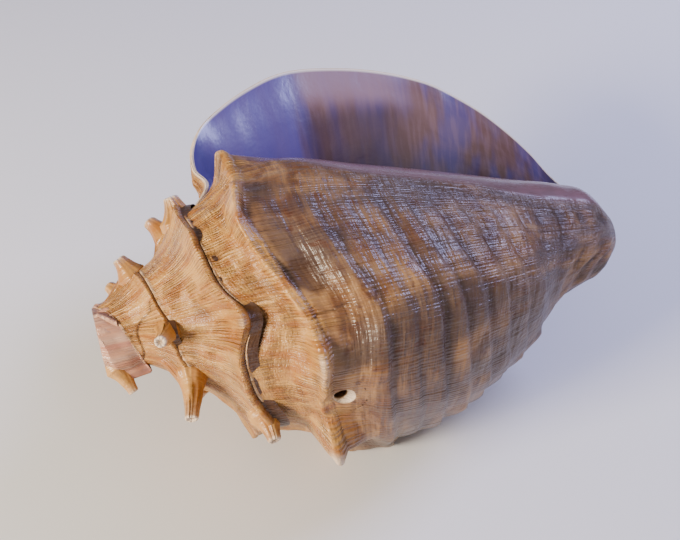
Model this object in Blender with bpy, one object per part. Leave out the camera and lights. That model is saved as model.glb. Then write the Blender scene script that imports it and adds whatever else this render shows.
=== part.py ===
"""Conch shell trumpet: a queen-conch type shell with a sawn apex and a side hole.

The shell is one solid. Its wall is a spiral loft between unlike sections, so its faces are made in
code: a generating curve is swept round the coiling axis, and the air channel inside it follows the
same spiral one whorl deep. Box, cone and cylinder cutters then saw off the apex, ream the blow hole,
drill the side hole and leave small flat spots where the shell rests.

Lengths are in metres and growth angles in degrees. The coiling axis is X, with the apex towards -X.
A growth angle of 0 is the start of the last whorl, on the side of the aperture, and it grows towards
the lip. The shell frame is turned about X at the end so that the shell rests on +Z up.
"""

import math

import bmesh
import bpy
import numpy as np

# Driving dimensions
CANAL_TIP_X = 0.228
PARIETAL_ANGLE = -10.0
LIP_ANGLE = 350.0
FLARE_ANGLE = 232.0
FIRST_ANGLE = -1090.0
LINES_A_TURN = 60
WHORL_GROWTH = 1.86

# Turning about the axis that lays the shell on its back, and the height of the axis when it rests
REST_ROLL = 45.0
AXIS_HEIGHT = 0.0727

# Place of the saw cut's end of the axis, which puts the middle of the shell's box over the origin
PLACE_X = -0.1152
PLACE_Y = -0.0240

# Suture of each whorl on the one before it: growth angle and place along the axis, then its radius
SUTURE_X = ((-1100, -0.020), (-900, -0.009), (-720, 0.0005), (-630, 0.0105), (-540, 0.0165), (-450, 0.0195),
            (-340, 0.0218), (-255, 0.028), (-190, 0.034), (-100, 0.0385), (0, 0.0415), (40, 0.044),
            (116, 0.0504), (170, 0.056), (250, 0.0605))
SUTURE_R = ((-1100, 0.005), (-900, 0.008), (-720, 0.0112), (-540, 0.0153), (-360, 0.0216), (-190, 0.029),
            (-100, 0.0345), (0, 0.040), (85, 0.0465), (170, 0.053), (250, 0.056))

# Where the suture swings round a knob that it has grown over: growth angle, width in degrees, swing
SUTURE_SWINGS = ((0, 9, 0.0055), (96, 8, 0.0075), (150, 8, 0.005), (-264, 9, 0.0015), (-215, 8, 0.0025),
                 (-360, 9, 0.002))

# Shoulder of the last whorl: growth angle and place along the axis, then its radius
SHOULDER_X = ((-110, 0.0575), (-10, 0.0625), (20, 0.0645), (60, 0.0605), (80, 0.066), (103, 0.0755),
              (126, 0.0745), (158, 0.0795), (200, 0.085), (250, 0.090), (350, 0.092))
SHOULDER_R = ((-110, 0.057), (-10, 0.056), (45, 0.055), (81, 0.0555), (105, 0.057), (126, 0.058),
              (158, 0.060), (200, 0.063), (250, 0.065), (350, 0.066))

# Body outline below the shoulder, as shares of its length and of the shoulder radius
FRONT_OUTLINE = ((0, 1.0), (0.10, 1.02), (0.32, 0.879), (0.54, 0.732), (0.73, 0.60), (0.88, 0.489),
                 (0.95, 0.398), (1, 0.20))
BACK_OUTLINE = ((0, 1.0), (0.07, 1.04), (0.145, 1.09), (0.22, 1.085), (0.317, 1.035), (0.42, 0.95),
                (0.54, 0.81), (0.64, 0.67), (0.72, 0.50), (0.79, 0.38), (0.9, 0.29), (0.96, 0.225),
                (1, 0.14))

# Stations along the generating curve, from the suture (0) to the canal tip (1)
SHOULDER_STATION = 0.36
NEXT_SUTURE_STATION = 0.42
LAST_SUTURE_STATION = 0.06

# Free edge of the flared lip: station, then its place in the shell frame
LIP_EDGE = ((0.07, 0.0588, 0.0198, 0.0554), (0.115, 0.0558, 0.0270, 0.0627), (0.16, 0.0572, 0.0342, 0.0722),
            (0.21, 0.0634, 0.0396, 0.0812), (0.26, 0.0707, 0.0441, 0.0868), (0.31, 0.0822, 0.0486, 0.0934),
            (0.365, 0.0935, 0.0522, 0.0984), (0.42, 0.1046, 0.0549, 0.1020),
            (0.475, 0.1154, 0.0576, 0.1036), (0.53, 0.1283, 0.0594, 0.1030), (0.58, 0.1434, 0.0603, 0.1006),
            (0.635, 0.1582, 0.0603, 0.0967), (0.69, 0.1725, 0.0594, 0.0911),
            (0.735, 0.1838, 0.0576, 0.0848), (0.78, 0.1941, 0.0549, 0.0759), (0.83, 0.2034, 0.0504, 0.0655),
            (0.88, 0.2121, 0.0441, 0.0520), (0.925, 0.2181, 0.0369, 0.0390), (0.96, 0.2223, 0.0279, 0.0253),
            (1, 0.2270, 0.0045, 0.0050))

# Way that the lip turns at its free edge, and how much more it turns along the curve
LIP_FLARE = (-0.35, 0.35, 0.9)
LIP_FLARE_GAIN = 0.7
LIP_FLARE_PULL = 0.9

# Knobs and spines: growth angle, height, half width in degrees, station, half width along the curve,
# lean along the axis and form (0 broad, 1 blunt, 2 finger)
KNOBS = (
    (2, 0.008, 13, 0.37, 0.13, 0, 1), (52, 0.005, 22, 0.36, 0.13, -0.002, 0),
    (119, 0.006, 17, 0.37, 0.15, 0, 0), (158, 0.013, 14, 0.36, 0.16, -0.0005, 1),
    (200, 0.0152, 17, 0.42, 0.17, 0.009, 0), (247, 0.0141, 17, 0.38, 0.18, 0.003, 1),
    (230, 0.0048, 32, 0.64, 0.20, 0.003, 0), (292, 0.007, 16, 0.38, 0.16, 0, 0),
    (-352, 0.0075, 13, 0.33, 0.22, 0.0015, 1), (-387, 0.009, 10, 0.34, 0.20, -0.005, 2),
    (-312, 0.002, 9, 0.36, 0.15, 0, 1), (-263, 0.0045, 9, 0.36, 0.16, 0, 0),
    (-210, 0.010, 10, 0.35, 0.20, 0.003, 2), (-164, 0.011, 10, 0.36, 0.20, -0.001, 2),
    (-120, 0.011, 10, 0.36, 0.20, -0.001, 2), (-78, 0.011, 11, 0.35, 0.20, -0.003, 2),
    (-717, 0.006, 11, 0.34, 0.26, -0.004, 1), (-760, 0.005, 11, 0.33, 0.25, -0.008, 2),
    (-627, 0.012, 11, 0.33, 0.22, -0.004, 2), (-576, 0.0155, 10, 0.35, 0.22, -0.004, 2),
    (-530, 0.010, 10, 0.36, 0.22, -0.003, 2), (-485, 0.010, 10, 0.36, 0.22, -0.003, 2),
    (-442, 0.009, 10, 0.35, 0.22, -0.004, 2),
    (-930, 0.0115, 12, 0.34, 0.25, -0.002, 2), (-880, 0.006, 12, 0.36, 0.25, -0.002, 1),
    (-830, 0.006, 12, 0.36, 0.25, -0.002, 1), (-780, 0.006, 12, 0.36, 0.25, -0.002, 1),
)

# Wall and air channel
BODY_WALL = 0.0040
SPIRE_WALL = 0.0021
LIP_WALL = 0.0018
THIN_WALL_RADIUS = 0.020
FULL_WALL_RADIUS = 0.055
CALLUS = 0.0005
CHANNEL_GAP = 0.0016
START_REACH = 0.45
START_SAMPLES = 91
PARIETAL_DRIFT = 4.0
PILLAR_SHARE = 0.55
PILLAR_STEP = 0.0015
CHANNEL_END_ANGLE = -770.0
CHANNEL_STEP = 18.0
CANAL_END_SHARE = 0.09
NORMAL_ANGLE = 0.5
NORMAL_STATION = 0.035
APEX = (-0.026, 0.0, 0.0018)
CANAL_TIP_DEPTH = 0.002
DRAW = 0.40
DRAW_WIDTH = 0.9
WALL_DRAW_REACH = 0.22
CANAL_NOTCH = (-0.002, -0.0035, -0.0050)
LIP_STEPS = (349.7, 343.0, 335.0, 326.0, 316.0, 305.0, 293.0, 280.0, 266.0, 250.0)

# Cuts
SAW_X = 0.0008
BLOW_HOLE_RADIUS = 0.0080
BLOW_HOLE_THROAT = 0.0050
BLOW_HOLE_DEPTH = 0.0160
SIDE_HOLE_RADIUS = 0.0028
SIDE_HOLE_X = 0.0835
SIDE_HOLE_ANGLE = 134.0
SIDE_HOLE_SURFACE = 0.0600
SIDE_HOLE_BEVEL = 0.0065
SIDE_HOLE_SINK = 0.0060
SIDE_HOLE_SEAT = 0.0026
SIDE_HOLE_SINK_TIP = 0.0017
SIDE_HOLE_REACH = 0.030
CUT_SIZE = 0.300
CUT_OVERRUN = 0.004
HOLE_SEGMENTS = 24

# Look
SHELL_COLOUR = (0.62, 0.42, 0.25, 1.0)
SHELL_ROUGHNESS = 0.35
SHARP_ANGLE = math.radians(55)


def smooth_step(start, end, value):
    """Rise from 0 at start to 1 at end with flat ends."""
    share = np.clip((np.asarray(value, float) - start) / (end - start), 0.0, 1.0)
    return share * share * (3.0 - 2.0 * share)


def hermite(share):
    """Return the four cubic Hermite weights at a share of the way."""
    square = share * share
    cube = square * share
    return 2 * cube - 3 * square + 1, cube - 2 * square + share, 3 * square - 2 * cube, cube - square


def curve_through(points, value):
    """Read a smooth curve that passes through (place, height) points."""
    places = np.array([point[0] for point in points], float)
    heights = np.array([point[1] for point in points], float)
    slopes = np.gradient(heights, places)
    clamped = np.clip(np.asarray(value, float), places[0], places[-1])
    left = np.clip(np.searchsorted(places, clamped, side="right") - 1, 0, len(places) - 2)
    gap = places[left + 1] - places[left]
    start, start_slope, end, end_slope = hermite((clamped - places[left]) / gap)
    return (start * heights[left] + start_slope * gap * slopes[left]
            + end * heights[left + 1] + end_slope * gap * slopes[left + 1])


def axis_offset(x):
    """Return how far the section's centre is off the axis: the spire leans and the canal is recurved."""
    return 0.0018 - 0.0018 * smooth_step(0.045, 0.100, x) - 0.0060 * smooth_step(0.090, 0.225, x)


def place(x, radius, angle):
    """Turn axial place, radius and growth angle into points of the shell frame."""
    turn = np.radians(angle)
    return np.stack([x, -radius * np.sin(turn), radius * np.cos(turn) + axis_offset(x)], -1)


def free_suture(angle):
    """Return the suture's axial place and radius up to where the lip starts to climb."""
    x = curve_through(SUTURE_X, angle)
    for centre, width, swing in SUTURE_SWINGS:
        x = x + swing * np.exp(-0.5 * ((np.asarray(angle, float) - centre) / width) ** 2)
    return x, curve_through(SUTURE_R, angle)


def shoulder(angle):
    """Return the shoulder's axial place and radius."""
    angle = np.asarray(angle, float)
    next_x, next_radius = free_suture(angle + 360.0)
    scale = next_radius / 0.050
    early_wall = 0.009 * (1.0 - smooth_step(-860.0, -650.0, angle))
    late = smooth_step(-140.0, -100.0, angle)
    x = (next_x - 0.003 * scale - early_wall) * (1 - late) + curve_through(SHOULDER_X, angle) * late
    radius = (next_radius + 0.001 * scale) * (1 - late) + curve_through(SHOULDER_R, angle) * late
    return x, radius


def base_end(angle):
    """Return where a whorl's generating curve ends along the axis."""
    angle = np.asarray(angle, float)
    early = np.minimum(angle, -360.0)
    shoulder_x, _ = shoulder(early)
    scaled = shoulder_x + 0.090 * WHORL_GROWTH ** ((early + 360.0) / 360.0)
    late = CANAL_TIP_X - 0.094 * np.clip((PARIETAL_ANGLE - angle) / 350.0, 0.0, 1.0) ** 0.9
    return np.where(angle > -360.0, late, scaled)


def next_suture_station(angle):
    """Return the station where the next whorl is fixed to this one; the last of it climbs the ramp."""
    drop = LAST_SUTURE_STATION - NEXT_SUTURE_STATION
    return NEXT_SUTURE_STATION + drop * smooth_step(-105.0, -12.0, angle)


def profile_from(suture_x, suture_radius, angle, station):
    """Return axial place and radius on the generating curve that starts at the given suture."""
    top_x, top_radius = shoulder(angle)
    free_x, free_radius = free_suture(angle + 360.0)
    scale = top_radius / 0.057
    late = smooth_step(-140.0, -100.0, angle)
    under_x = free_x * (1 - late) + (top_x + 0.005 * scale) * late
    under_radius = free_radius * (1 - late) + (top_radius + 0.0003 * scale) * late

    # Ramp: a parabola through a middle that is sunk a little
    run_x = top_x - suture_x
    run_radius = top_radius - suture_radius
    middle_x = 0.5 * (suture_x + top_x) + 0.085 * run_radius
    middle_radius = 0.5 * (suture_radius + top_radius) - 0.085 * run_x
    t = np.clip(station / SHOULDER_STATION, 0.0, 1.0)
    first, middle, last = (1 - t) * (1 - 2 * t), 4 * t * (1 - t), t * (2 * t - 1)
    ramp_x = suture_x * first + middle_x * middle + top_x * last
    ramp_radius = suture_radius * first + middle_radius * middle + top_radius * last

    # Rounded shoulder down to where the next whorl is fixed
    t = np.clip((station - SHOULDER_STATION) / (NEXT_SUTURE_STATION - SHOULDER_STATION), 0.0, 1.0)
    edge_x = top_x + (under_x - top_x) * t
    edge_radius = top_radius + (under_radius - top_radius) * t + 0.0006 * scale * np.sin(math.pi * t)

    # Body wall down to the canal
    t = np.clip((station - NEXT_SUTURE_STATION) / (1.0 - NEXT_SUTURE_STATION), 0.0, 1.0)
    back = smooth_step(0.0, 150.0, angle)
    share = curve_through(FRONT_OUTLINE, t) * (1 - back) + curve_through(BACK_OUTLINE, t) * back
    wall_x = under_x + (base_end(angle) - under_x) * t
    wall_radius = top_radius * share + (under_radius - top_radius) * (1 - smooth_step(0.0, 0.25, t))

    on_ramp = station < SHOULDER_STATION
    on_edge = station < NEXT_SUTURE_STATION
    x = np.where(on_ramp, ramp_x, np.where(on_edge, edge_x, wall_x))
    radius = np.where(on_ramp, ramp_radius, np.where(on_edge, edge_radius, wall_radius))
    return x, radius


def suture(angle):
    """Return the suture's axial place and radius; near the lip it lies on the whorl before."""
    x, radius = free_suture(angle)
    before = np.minimum(np.asarray(angle, float), LIP_ANGLE) - 360.0
    start_x, start_radius = free_suture(before)
    climb_x, climb_radius = profile_from(start_x, start_radius, before, next_suture_station(before))
    climbing = np.asarray(angle, float) > 250.0
    return np.where(climbing, climb_x, x), np.where(climbing, climb_radius, radius)


def knob_height(reach, form):
    """Return a knob's height share at a reach of 0 (tip) to 1 (foot)."""
    dome = np.clip(1.0 - reach ** 2, 0.0, 1.0)
    if form == 0:
        return dome ** 1.6
    if form == 1:
        return dome ** 2.2
    return 0.72 * (1.0 - smooth_step(0.28, 0.62, reach)) + 0.28 * dome ** 2


def knob_shift(angle, station):
    """Return how far the knobs and spines lift the surface."""
    shift = np.zeros(np.shape(angle) + (3,))
    for centre, height, half_width, mid_station, half_station, lean, form in KNOBS:
        reach = np.hypot((angle - centre) / half_width, (station - mid_station) / half_station)
        turn = math.radians(centre)
        direction = np.array([lean, -height * math.sin(turn), height * math.cos(turn)])
        shift = shift + knob_height(np.minimum(reach, 1.0), form)[..., None] * direction
    return shift


def coiled_surface(angle, station):
    """Return points of the coiled whorls without knobs."""
    suture_x, suture_radius = suture(angle)
    x, radius = profile_from(suture_x, suture_radius, angle, station)
    return place(x, radius, angle)


def lip_edge(station):
    """Return points of the lip's free edge, from its root on the spire to the canal."""
    root_x, root_radius = suture(np.array([LIP_ANGLE]))
    root = place(root_x, root_radius, np.array([LIP_ANGLE]))[0]
    points = ((0.0, *root),) + LIP_EDGE
    return np.stack([curve_through([(point[0], point[axis]) for point in points], station)
                     for axis in (1, 2, 3)], -1)


def flared_surface(angle, station):
    """Return points of the lip, which leaves the whorl on a tangent and opens to its free edge."""
    share = (angle - FLARE_ANGLE) / (LIP_ANGLE - FLARE_ANGLE)
    start = coiled_surface(np.full_like(station, FLARE_ANGLE), station)
    tangent = (coiled_surface(np.full_like(station, FLARE_ANGLE + 1.0), station)
               - coiled_surface(np.full_like(station, FLARE_ANGLE - 1.0), station))
    end = lip_edge(station)
    reach = np.linalg.norm(end - start, axis=-1, keepdims=True)
    tangent = tangent / np.linalg.norm(tangent, axis=-1, keepdims=True)
    flare = np.array(LIP_FLARE) + LIP_FLARE_GAIN * station[..., None] * np.array((1.0, 0.0, 0.0))
    flare = flare / np.linalg.norm(flare, axis=-1, keepdims=True)
    w0, w1, w2, w3 = (weight[..., None] for weight in hermite(share))
    return w0 * start + w1 * reach * tangent + w2 * end + w3 * LIP_FLARE_PULL * reach * flare


def outer_surface(angle, station, with_knobs=True):
    """Return points of the shell's outside at growth angles and stations."""
    angle, station = np.broadcast_arrays(np.asarray(angle, float), np.asarray(station, float))
    points = coiled_surface(angle, station)
    lip_angle = np.clip(angle, FLARE_ANGLE, LIP_ANGLE)
    lip = flared_surface(lip_angle, station)
    foot = flared_surface(lip_angle, np.zeros_like(station))
    suture_x, suture_radius = suture(lip_angle)
    on_suture = place(suture_x, suture_radius, lip_angle)
    lip = lip + (on_suture - foot) * (1 - smooth_step(0.0, 0.30, station))[..., None]
    points = np.where((angle > FLARE_ANGLE)[..., None], lip, points)
    if with_knobs:
        fade = 1 - smooth_step(300.0, 335.0, angle)
        points = points + knob_shift(angle, station) * fade[..., None]
    return points


def outward_normal(angle, station):
    """Return unit normals of the outside, pointing out of the shell."""
    station = np.clip(station, NORMAL_STATION, 1.0 - NORMAL_STATION)
    angle = np.minimum(angle, LIP_ANGLE - NORMAL_ANGLE)
    along = (outer_surface(angle + NORMAL_ANGLE, station, False)
             - outer_surface(angle - NORMAL_ANGLE, station, False))
    across = (outer_surface(angle, station + NORMAL_STATION, False)
              - outer_surface(angle, station - NORMAL_STATION, False))
    normal = np.cross(along, across)
    return normal / np.linalg.norm(normal, axis=-1, keepdims=True)


def drawn_to_knobs(angle, weight):
    """Draw growth lines towards the knobs, so that the knobs get enough vertices."""
    drawn = angle.copy()
    for centre, _, half_width, _, _, _, _ in KNOBS:
        away = angle - centre
        drawn = drawn - DRAW * weight * away * np.exp(-(away / (DRAW_WIDTH * half_width)) ** 2)
    return drawn


# Rows of the outside: the visible band of each whorl, then the rest of the last whorl
BAND_ROWS = np.array((0.0, 0.24, 0.48, 0.70, 0.857, 0.94, 1.0))
WALL_ROWS = np.array((0.07, 0.15, 0.24, 0.34, 0.45, 0.57, 0.69, 0.81, 0.91, 1.0))
BAND_DRAW = np.array((0.0, 0.6, 1.0, 1.0, 1.0, 0.5, 0.0))


def band_stations(angle):
    """Return the stations of the band rows on one growth line."""
    last = float(next_suture_station(angle))
    if angle > PARIETAL_ANGLE:
        rise = NEXT_SUTURE_STATION - LAST_SUTURE_STATION
        last = LAST_SUTURE_STATION + rise * float(smooth_step(-12.0, 60.0, angle))
    return last * BAND_ROWS


def wall_stations(angle):
    """Return the stations of the rows below the band."""
    last = band_stations(angle)[-1]
    return last + (1.0 - last) * WALL_ROWS


class MeshDraft:
    """Vertices and faces of the shell while it is put together."""

    def __init__(self):
        self.points = []
        self.faces = []

    def add_points(self, points):
        """Add points and return their indices."""
        first = len(self.points)
        self.points.extend(np.asarray(points, float).tolist())
        return list(range(first, len(self.points)))

    def add_strip(self, left, right):
        """Join two rows of the same length with quads, as triangles where corners coincide."""
        for k in range(len(left) - 1):
            corners = (left[k], left[k + 1], right[k + 1], right[k])
            face = tuple(dict.fromkeys(corners))
            if len(face) > 2:
                self.faces.append(face)

    def add_fan(self, loop, centre):
        """Close a loop of vertices with triangles to a centre."""
        for k, vertex in enumerate(loop):
            self.faces.append((vertex, loop[(k + 1) % len(loop)], centre))


def add_outside(draft):
    """Add the outer sheet and return its bands and walls as rows of vertex indices."""
    step = 360.0 / LINES_A_TURN
    count = round((LIP_ANGLE - FIRST_ANGLE) / step)
    parietal = count - LINES_A_TURN
    lines = []
    for i in range(count + 1):
        angle = FIRST_ANGLE + i * step
        stations = band_stations(angle)
        draw = BAND_DRAW * (0.0 if i in (parietal, count) else 1.0)
        if i > parietal and i < count:
            draw = np.maximum(draw, smooth_step(0.0, 0.5, BAND_ROWS))
        angles = drawn_to_knobs(np.full_like(stations, angle), draw)
        points = outer_surface(angles, stations)
        lines.append(draft.add_points(points if i > parietal else points[:-1]))
    # The last row of a band is the first row one turn later, so neighbouring whorls share a suture
    bands = [line + [lines[i + LINES_A_TURN][0]] if i <= parietal else line
             for i, line in enumerate(lines)]
    walls = []
    for i in range(parietal, count + 1):
        angle = FIRST_ANGLE + i * step
        stations = wall_stations(angle)
        draw = np.clip(1 - (stations - stations[0]) / WALL_DRAW_REACH, 0, 1)
        draw = draw * (0.0 if i in (parietal, count) else 1.0)
        angles = drawn_to_knobs(np.full_like(stations, angle), draw)
        walls.append([bands[i][-1]] + draft.add_points(outer_surface(angles, stations)))
    for left, right in zip(bands[:-1], bands[1:]):
        draft.add_strip(left, right)
    for left, right in zip(walls[:-1], walls[1:]):
        draft.add_strip(left, right)
    # Cap of the first turn, which the saw takes off
    apex = draft.add_points([APEX])[0]
    loop = [band[0] for band in bands[:LINES_A_TURN]] + bands[0][:0:-1]
    draft.add_fan(loop, apex)
    return bands, walls


def wall_thickness(angle):
    """Return the wall's thickness: thin in the spire and at the lip's free edge."""
    _, radius = shoulder(angle)
    share = np.clip((radius - THIN_WALL_RADIUS) / (FULL_WALL_RADIUS - THIN_WALL_RADIUS), 0.0, 1.0)
    wall = SPIRE_WALL + (BODY_WALL - SPIRE_WALL) * share
    edge = smooth_step(300.0, 349.0, angle)
    return wall + (LIP_WALL - wall) * edge


def channel_start(angle, before, wall):
    """Return the stations, outside and on the whorl below, where the wedge between them is wide enough."""
    stations = np.linspace(0.0, START_REACH, START_SAMPLES)
    outer = outer_surface(angle, stations, False)
    first = float(next_suture_station(before))
    under_stations = first + (1.0 - first) * stations
    under = coiled_surface(np.full_like(stations, before), under_stations)
    distance = np.linalg.norm(outer[:, None] - under[None], axis=2)
    wide = distance.min(axis=1) > wall + CHANNEL_GAP
    start = int(np.argmax(wide))
    return stations[start], under_stations[int(np.argmin(distance[start]))]


def channel_loop(angle):
    """Return one loop of the air channel: its outer wall, its canal side, then its inner wall back."""
    deep = 1.0 - float(smooth_step(250.0, 349.0, angle))
    before = angle - 360.0 - PARIETAL_DRIFT * float(smooth_step(300.0, 350.0, angle))
    wall = float(wall_thickness(angle))
    start, under_start = channel_start(angle, before, wall)

    rows = np.concatenate([band_stations(angle), wall_stations(angle)])
    stations = start + (1.0 - CANAL_END_SHARE * deep - start) * rows
    angles = np.full_like(stations, angle)
    outer = outer_surface(angles, stations, False) - wall * outward_normal(angles, stations)

    rows = (WALL_ROWS - WALL_ROWS[0]) / (1.0 - WALL_ROWS[0])
    stations = under_start + (1.0 - under_start) * rows
    angles = np.full_like(stations, before)
    inner = coiled_surface(angles, stations) + CALLUS * deep * outward_normal(angles, stations)

    # The columella lies between the two walls' ends
    end = outer[-1]
    pillar_radius = PILLAR_SHARE * math.hypot(end[1], end[2] - axis_offset(end[0]))
    pillar = place(end[0] - PILLAR_STEP, pillar_radius, before)
    columella = np.stack([pillar, 0.5 * (pillar + inner[-1])])
    return np.concatenate([outer, columella, inner[::-1]])


def build_draft():
    """Put together the closed shell: outside, canal end and air channel."""
    draft = MeshDraft()
    bands, walls = add_outside(draft)

    # Mouth of the air channel: the lip's edge, the canal notch, then the parietal line back
    canal_start = np.array(draft.points[walls[0][-1]])
    canal_end = np.array(draft.points[walls[-1][-1]])
    span = canal_end - canal_start
    floor = 0.5 * (canal_start + canal_end) + np.array(CANAL_NOTCH)
    notch = draft.add_points([floor + 0.25 * span, floor - 0.25 * span])
    mouth = bands[-1] + walls[-1][1:] + notch + walls[0][:0:-1]

    ring = [wall[-1] for wall in walls] + notch
    middle = np.mean([draft.points[vertex] for vertex in ring], axis=0)
    centre = draft.add_points([middle + np.array((CANAL_TIP_DEPTH, 0.0, 0.0))])[0]
    draft.add_fan(ring, centre)

    angles = list(LIP_STEPS)
    while angles[-1] - CHANNEL_STEP > CHANNEL_END_ANGLE:
        angles.append(angles[-1] - CHANNEL_STEP)
    loops = [mouth] + [draft.add_points(channel_loop(angle)) for angle in angles]
    for left, right in zip(loops[:-1], loops[1:]):
        draft.add_strip(left + left[:1], right + right[:1])
    middle = np.mean([draft.points[vertex] for vertex in loops[-1]], axis=0)
    draft.add_fan(loops[-1], draft.add_points([middle])[0])
    return draft


def new_collection(name):
    """Make a collection in the scene."""
    collection = bpy.data.collections.new(name)
    bpy.context.scene.collection.children.link(collection)
    return collection


def mesh_object(name, mesh, collection, parent):
    """Make an object that holds a mesh, in a collection and under a parent."""
    thing = bpy.data.objects.new(name, mesh)
    collection.objects.link(thing)
    thing.parent = parent
    return thing


def mesh_from_bmesh(name, bm):
    """Turn a bmesh into a mesh with its faces pointing out."""
    bmesh.ops.recalc_face_normals(bm, faces=bm.faces)
    mesh = bpy.data.meshes.new(name)
    bm.to_mesh(mesh)
    bm.free()
    return mesh


def shell_mesh():
    """Make the shell's mesh from its draft."""
    draft = build_draft()
    bm = bmesh.new()
    vertices = [bm.verts.new(point) for point in draft.points]
    for face in draft.faces:
        bm.faces.new([vertices[index] for index in face])
    bmesh.ops.triangulate(bm, faces=bm.faces)
    return mesh_from_bmesh("shell", bm)


def add_cutter(name, mesh, collection, parent):
    """Add a cutter, which is drawn as wire and never rendered."""
    cutter = mesh_object(name, mesh, collection, parent)
    cutter.display_type = "WIRE"
    cutter.hide_render = True
    return cutter


def box_mesh(name, size):
    """Make a box centred on its origin."""
    bm = bmesh.new()
    bmesh.ops.create_cube(bm, size=1.0)
    bmesh.ops.scale(bm, verts=bm.verts, vec=size)
    return mesh_from_bmesh(name, bm)


def cone_mesh(name, radius_near, radius_far, depth):
    """Make a cone or cylinder along Z, centred on its origin, with its near end at -Z."""
    bm = bmesh.new()
    bmesh.ops.create_cone(bm, cap_ends=True, segments=HOLE_SEGMENTS, radius1=radius_near,
                          radius2=radius_far, depth=depth)
    return mesh_from_bmesh(name, bm)


def add_cutters(collection, frame):
    """Add the saw, the blow-hole reamer, the drill, its countersink and the resting plane."""
    saw = add_cutter("saw_cut", box_mesh("saw_cut", (CUT_SIZE, CUT_SIZE, CUT_SIZE)), collection, frame)
    saw.location = (SAW_X - CUT_SIZE / 2, 0.0, 0.0)

    reach = BLOW_HOLE_DEPTH + CUT_OVERRUN
    slope = (BLOW_HOLE_RADIUS - BLOW_HOLE_THROAT) / BLOW_HOLE_DEPTH
    reamer_mesh = cone_mesh("blow_hole_cut", BLOW_HOLE_RADIUS + slope * CUT_OVERRUN, BLOW_HOLE_THROAT, reach)
    reamer = add_cutter("blow_hole_cut", reamer_mesh, collection, frame)
    reamer.rotation_euler = (0.0, math.radians(90), 0.0)
    reamer.location = (SAW_X + BLOW_HOLE_DEPTH - reach / 2, 0.0, float(axis_offset(0.0)))

    turn = math.radians(SIDE_HOLE_ANGLE)
    outward = np.array((0.0, -math.sin(turn), math.cos(turn)))
    drill = add_cutter("side_hole_cut", cone_mesh("side_hole_cut", SIDE_HOLE_RADIUS, SIDE_HOLE_RADIUS,
                                                  SIDE_HOLE_REACH), collection, frame)
    sink_mesh = cone_mesh("side_hole_bevel_cut", SIDE_HOLE_SINK_TIP, SIDE_HOLE_BEVEL, SIDE_HOLE_SINK)
    sink = add_cutter("side_hole_bevel_cut", sink_mesh, collection, frame)
    sink_height = SIDE_HOLE_SURFACE - SIDE_HOLE_SEAT + SIDE_HOLE_SINK / 2
    for cutter, height in ((drill, SIDE_HOLE_SURFACE), (sink, sink_height)):
        cutter.rotation_euler = (turn, 0.0, 0.0)
        centre = outward * height + np.array((SIDE_HOLE_X, 0.0, float(axis_offset(SIDE_HOLE_X))))
        cutter.location = centre.tolist()

    plane_mesh = box_mesh("rest_cut", (CUT_SIZE * 2, CUT_SIZE * 2, CUT_SIZE))
    plane = add_cutter("rest_cut", plane_mesh, collection, None)
    plane.location = (0.0, 0.0, -CUT_SIZE / 2)
    return [saw, reamer, drill, sink, plane]


def shell_material():
    """Make the shell's material: varnished tan shell."""
    material = bpy.data.materials.new("varnished_shell")
    material.use_nodes = True
    principled = material.node_tree.nodes["Principled BSDF"]
    principled.inputs["Base Color"].default_value = SHELL_COLOUR
    principled.inputs["Roughness"].default_value = SHELL_ROUGHNESS
    principled.inputs["Metallic"].default_value = 0.0
    return material


def main():
    """Build the shell."""
    for thing in list(bpy.data.objects):
        bpy.data.objects.remove(thing)
    parts = new_collection("conch_shell_trumpet")
    cutters = new_collection("cutters")

    frame = bpy.data.objects.new("shell_frame", None)
    parts.objects.link(frame)
    frame.rotation_euler = (-math.radians(REST_ROLL), 0.0, 0.0)
    frame.location = (PLACE_X, PLACE_Y, AXIS_HEIGHT)

    mesh = shell_mesh()
    mesh.materials.append(shell_material())
    shell = mesh_object("shell", mesh, parts, frame)
    for cutter in add_cutters(cutters, frame):
        cut = shell.modifiers.new(cutter.name, "BOOLEAN")
        cut.operation = "DIFFERENCE"
        cut.object = cutter
    mesh.shade_smooth()
    mesh.set_sharp_from_angle(angle=SHARP_ANGLE)


main()
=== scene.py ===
"""Looks of the conch shell trumpet: a sawn and side-drilled shell that lies on its back.

The shell is drawn again on the growth curves of its solid, in five pieces: the spire with its sawn
end, the finger spines, the last whorl with the side hole, the flared lip, and the smooth mouth. A
piece is made of sheets. A sheet is a grid of growth angles by stations, lifted by knobs and by low
relief, and its attributes steer the finish. A growth angle of 0 is the start of the last whorl. A
station runs along the generating curve, from 0 at the suture to 1 at the canal's tip. Lengths are
in metres, growth angles in degrees and flow coordinates in millimetres.
"""

from __future__ import annotations

import logging
import math
from dataclasses import dataclass, field
from enum import Enum

import bmesh
import bpy
import numpy as np
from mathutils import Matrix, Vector

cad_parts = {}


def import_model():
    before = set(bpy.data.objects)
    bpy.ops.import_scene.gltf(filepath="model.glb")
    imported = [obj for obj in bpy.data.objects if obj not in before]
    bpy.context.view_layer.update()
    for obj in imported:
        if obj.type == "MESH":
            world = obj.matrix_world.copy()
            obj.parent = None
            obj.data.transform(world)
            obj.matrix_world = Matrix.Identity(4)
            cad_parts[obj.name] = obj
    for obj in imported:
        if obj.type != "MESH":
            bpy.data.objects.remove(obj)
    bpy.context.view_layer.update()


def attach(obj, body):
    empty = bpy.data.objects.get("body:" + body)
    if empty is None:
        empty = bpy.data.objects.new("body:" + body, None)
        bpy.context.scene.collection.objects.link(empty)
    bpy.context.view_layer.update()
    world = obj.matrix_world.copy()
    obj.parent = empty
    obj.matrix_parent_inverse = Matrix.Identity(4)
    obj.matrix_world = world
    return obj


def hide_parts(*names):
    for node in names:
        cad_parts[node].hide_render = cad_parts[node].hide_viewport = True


LOG = logging.getLogger("conch")
Array = np.ndarray
Colour = tuple[float, float, float]
Way = tuple[float, float, float]
Knot = tuple[float, float]
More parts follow.
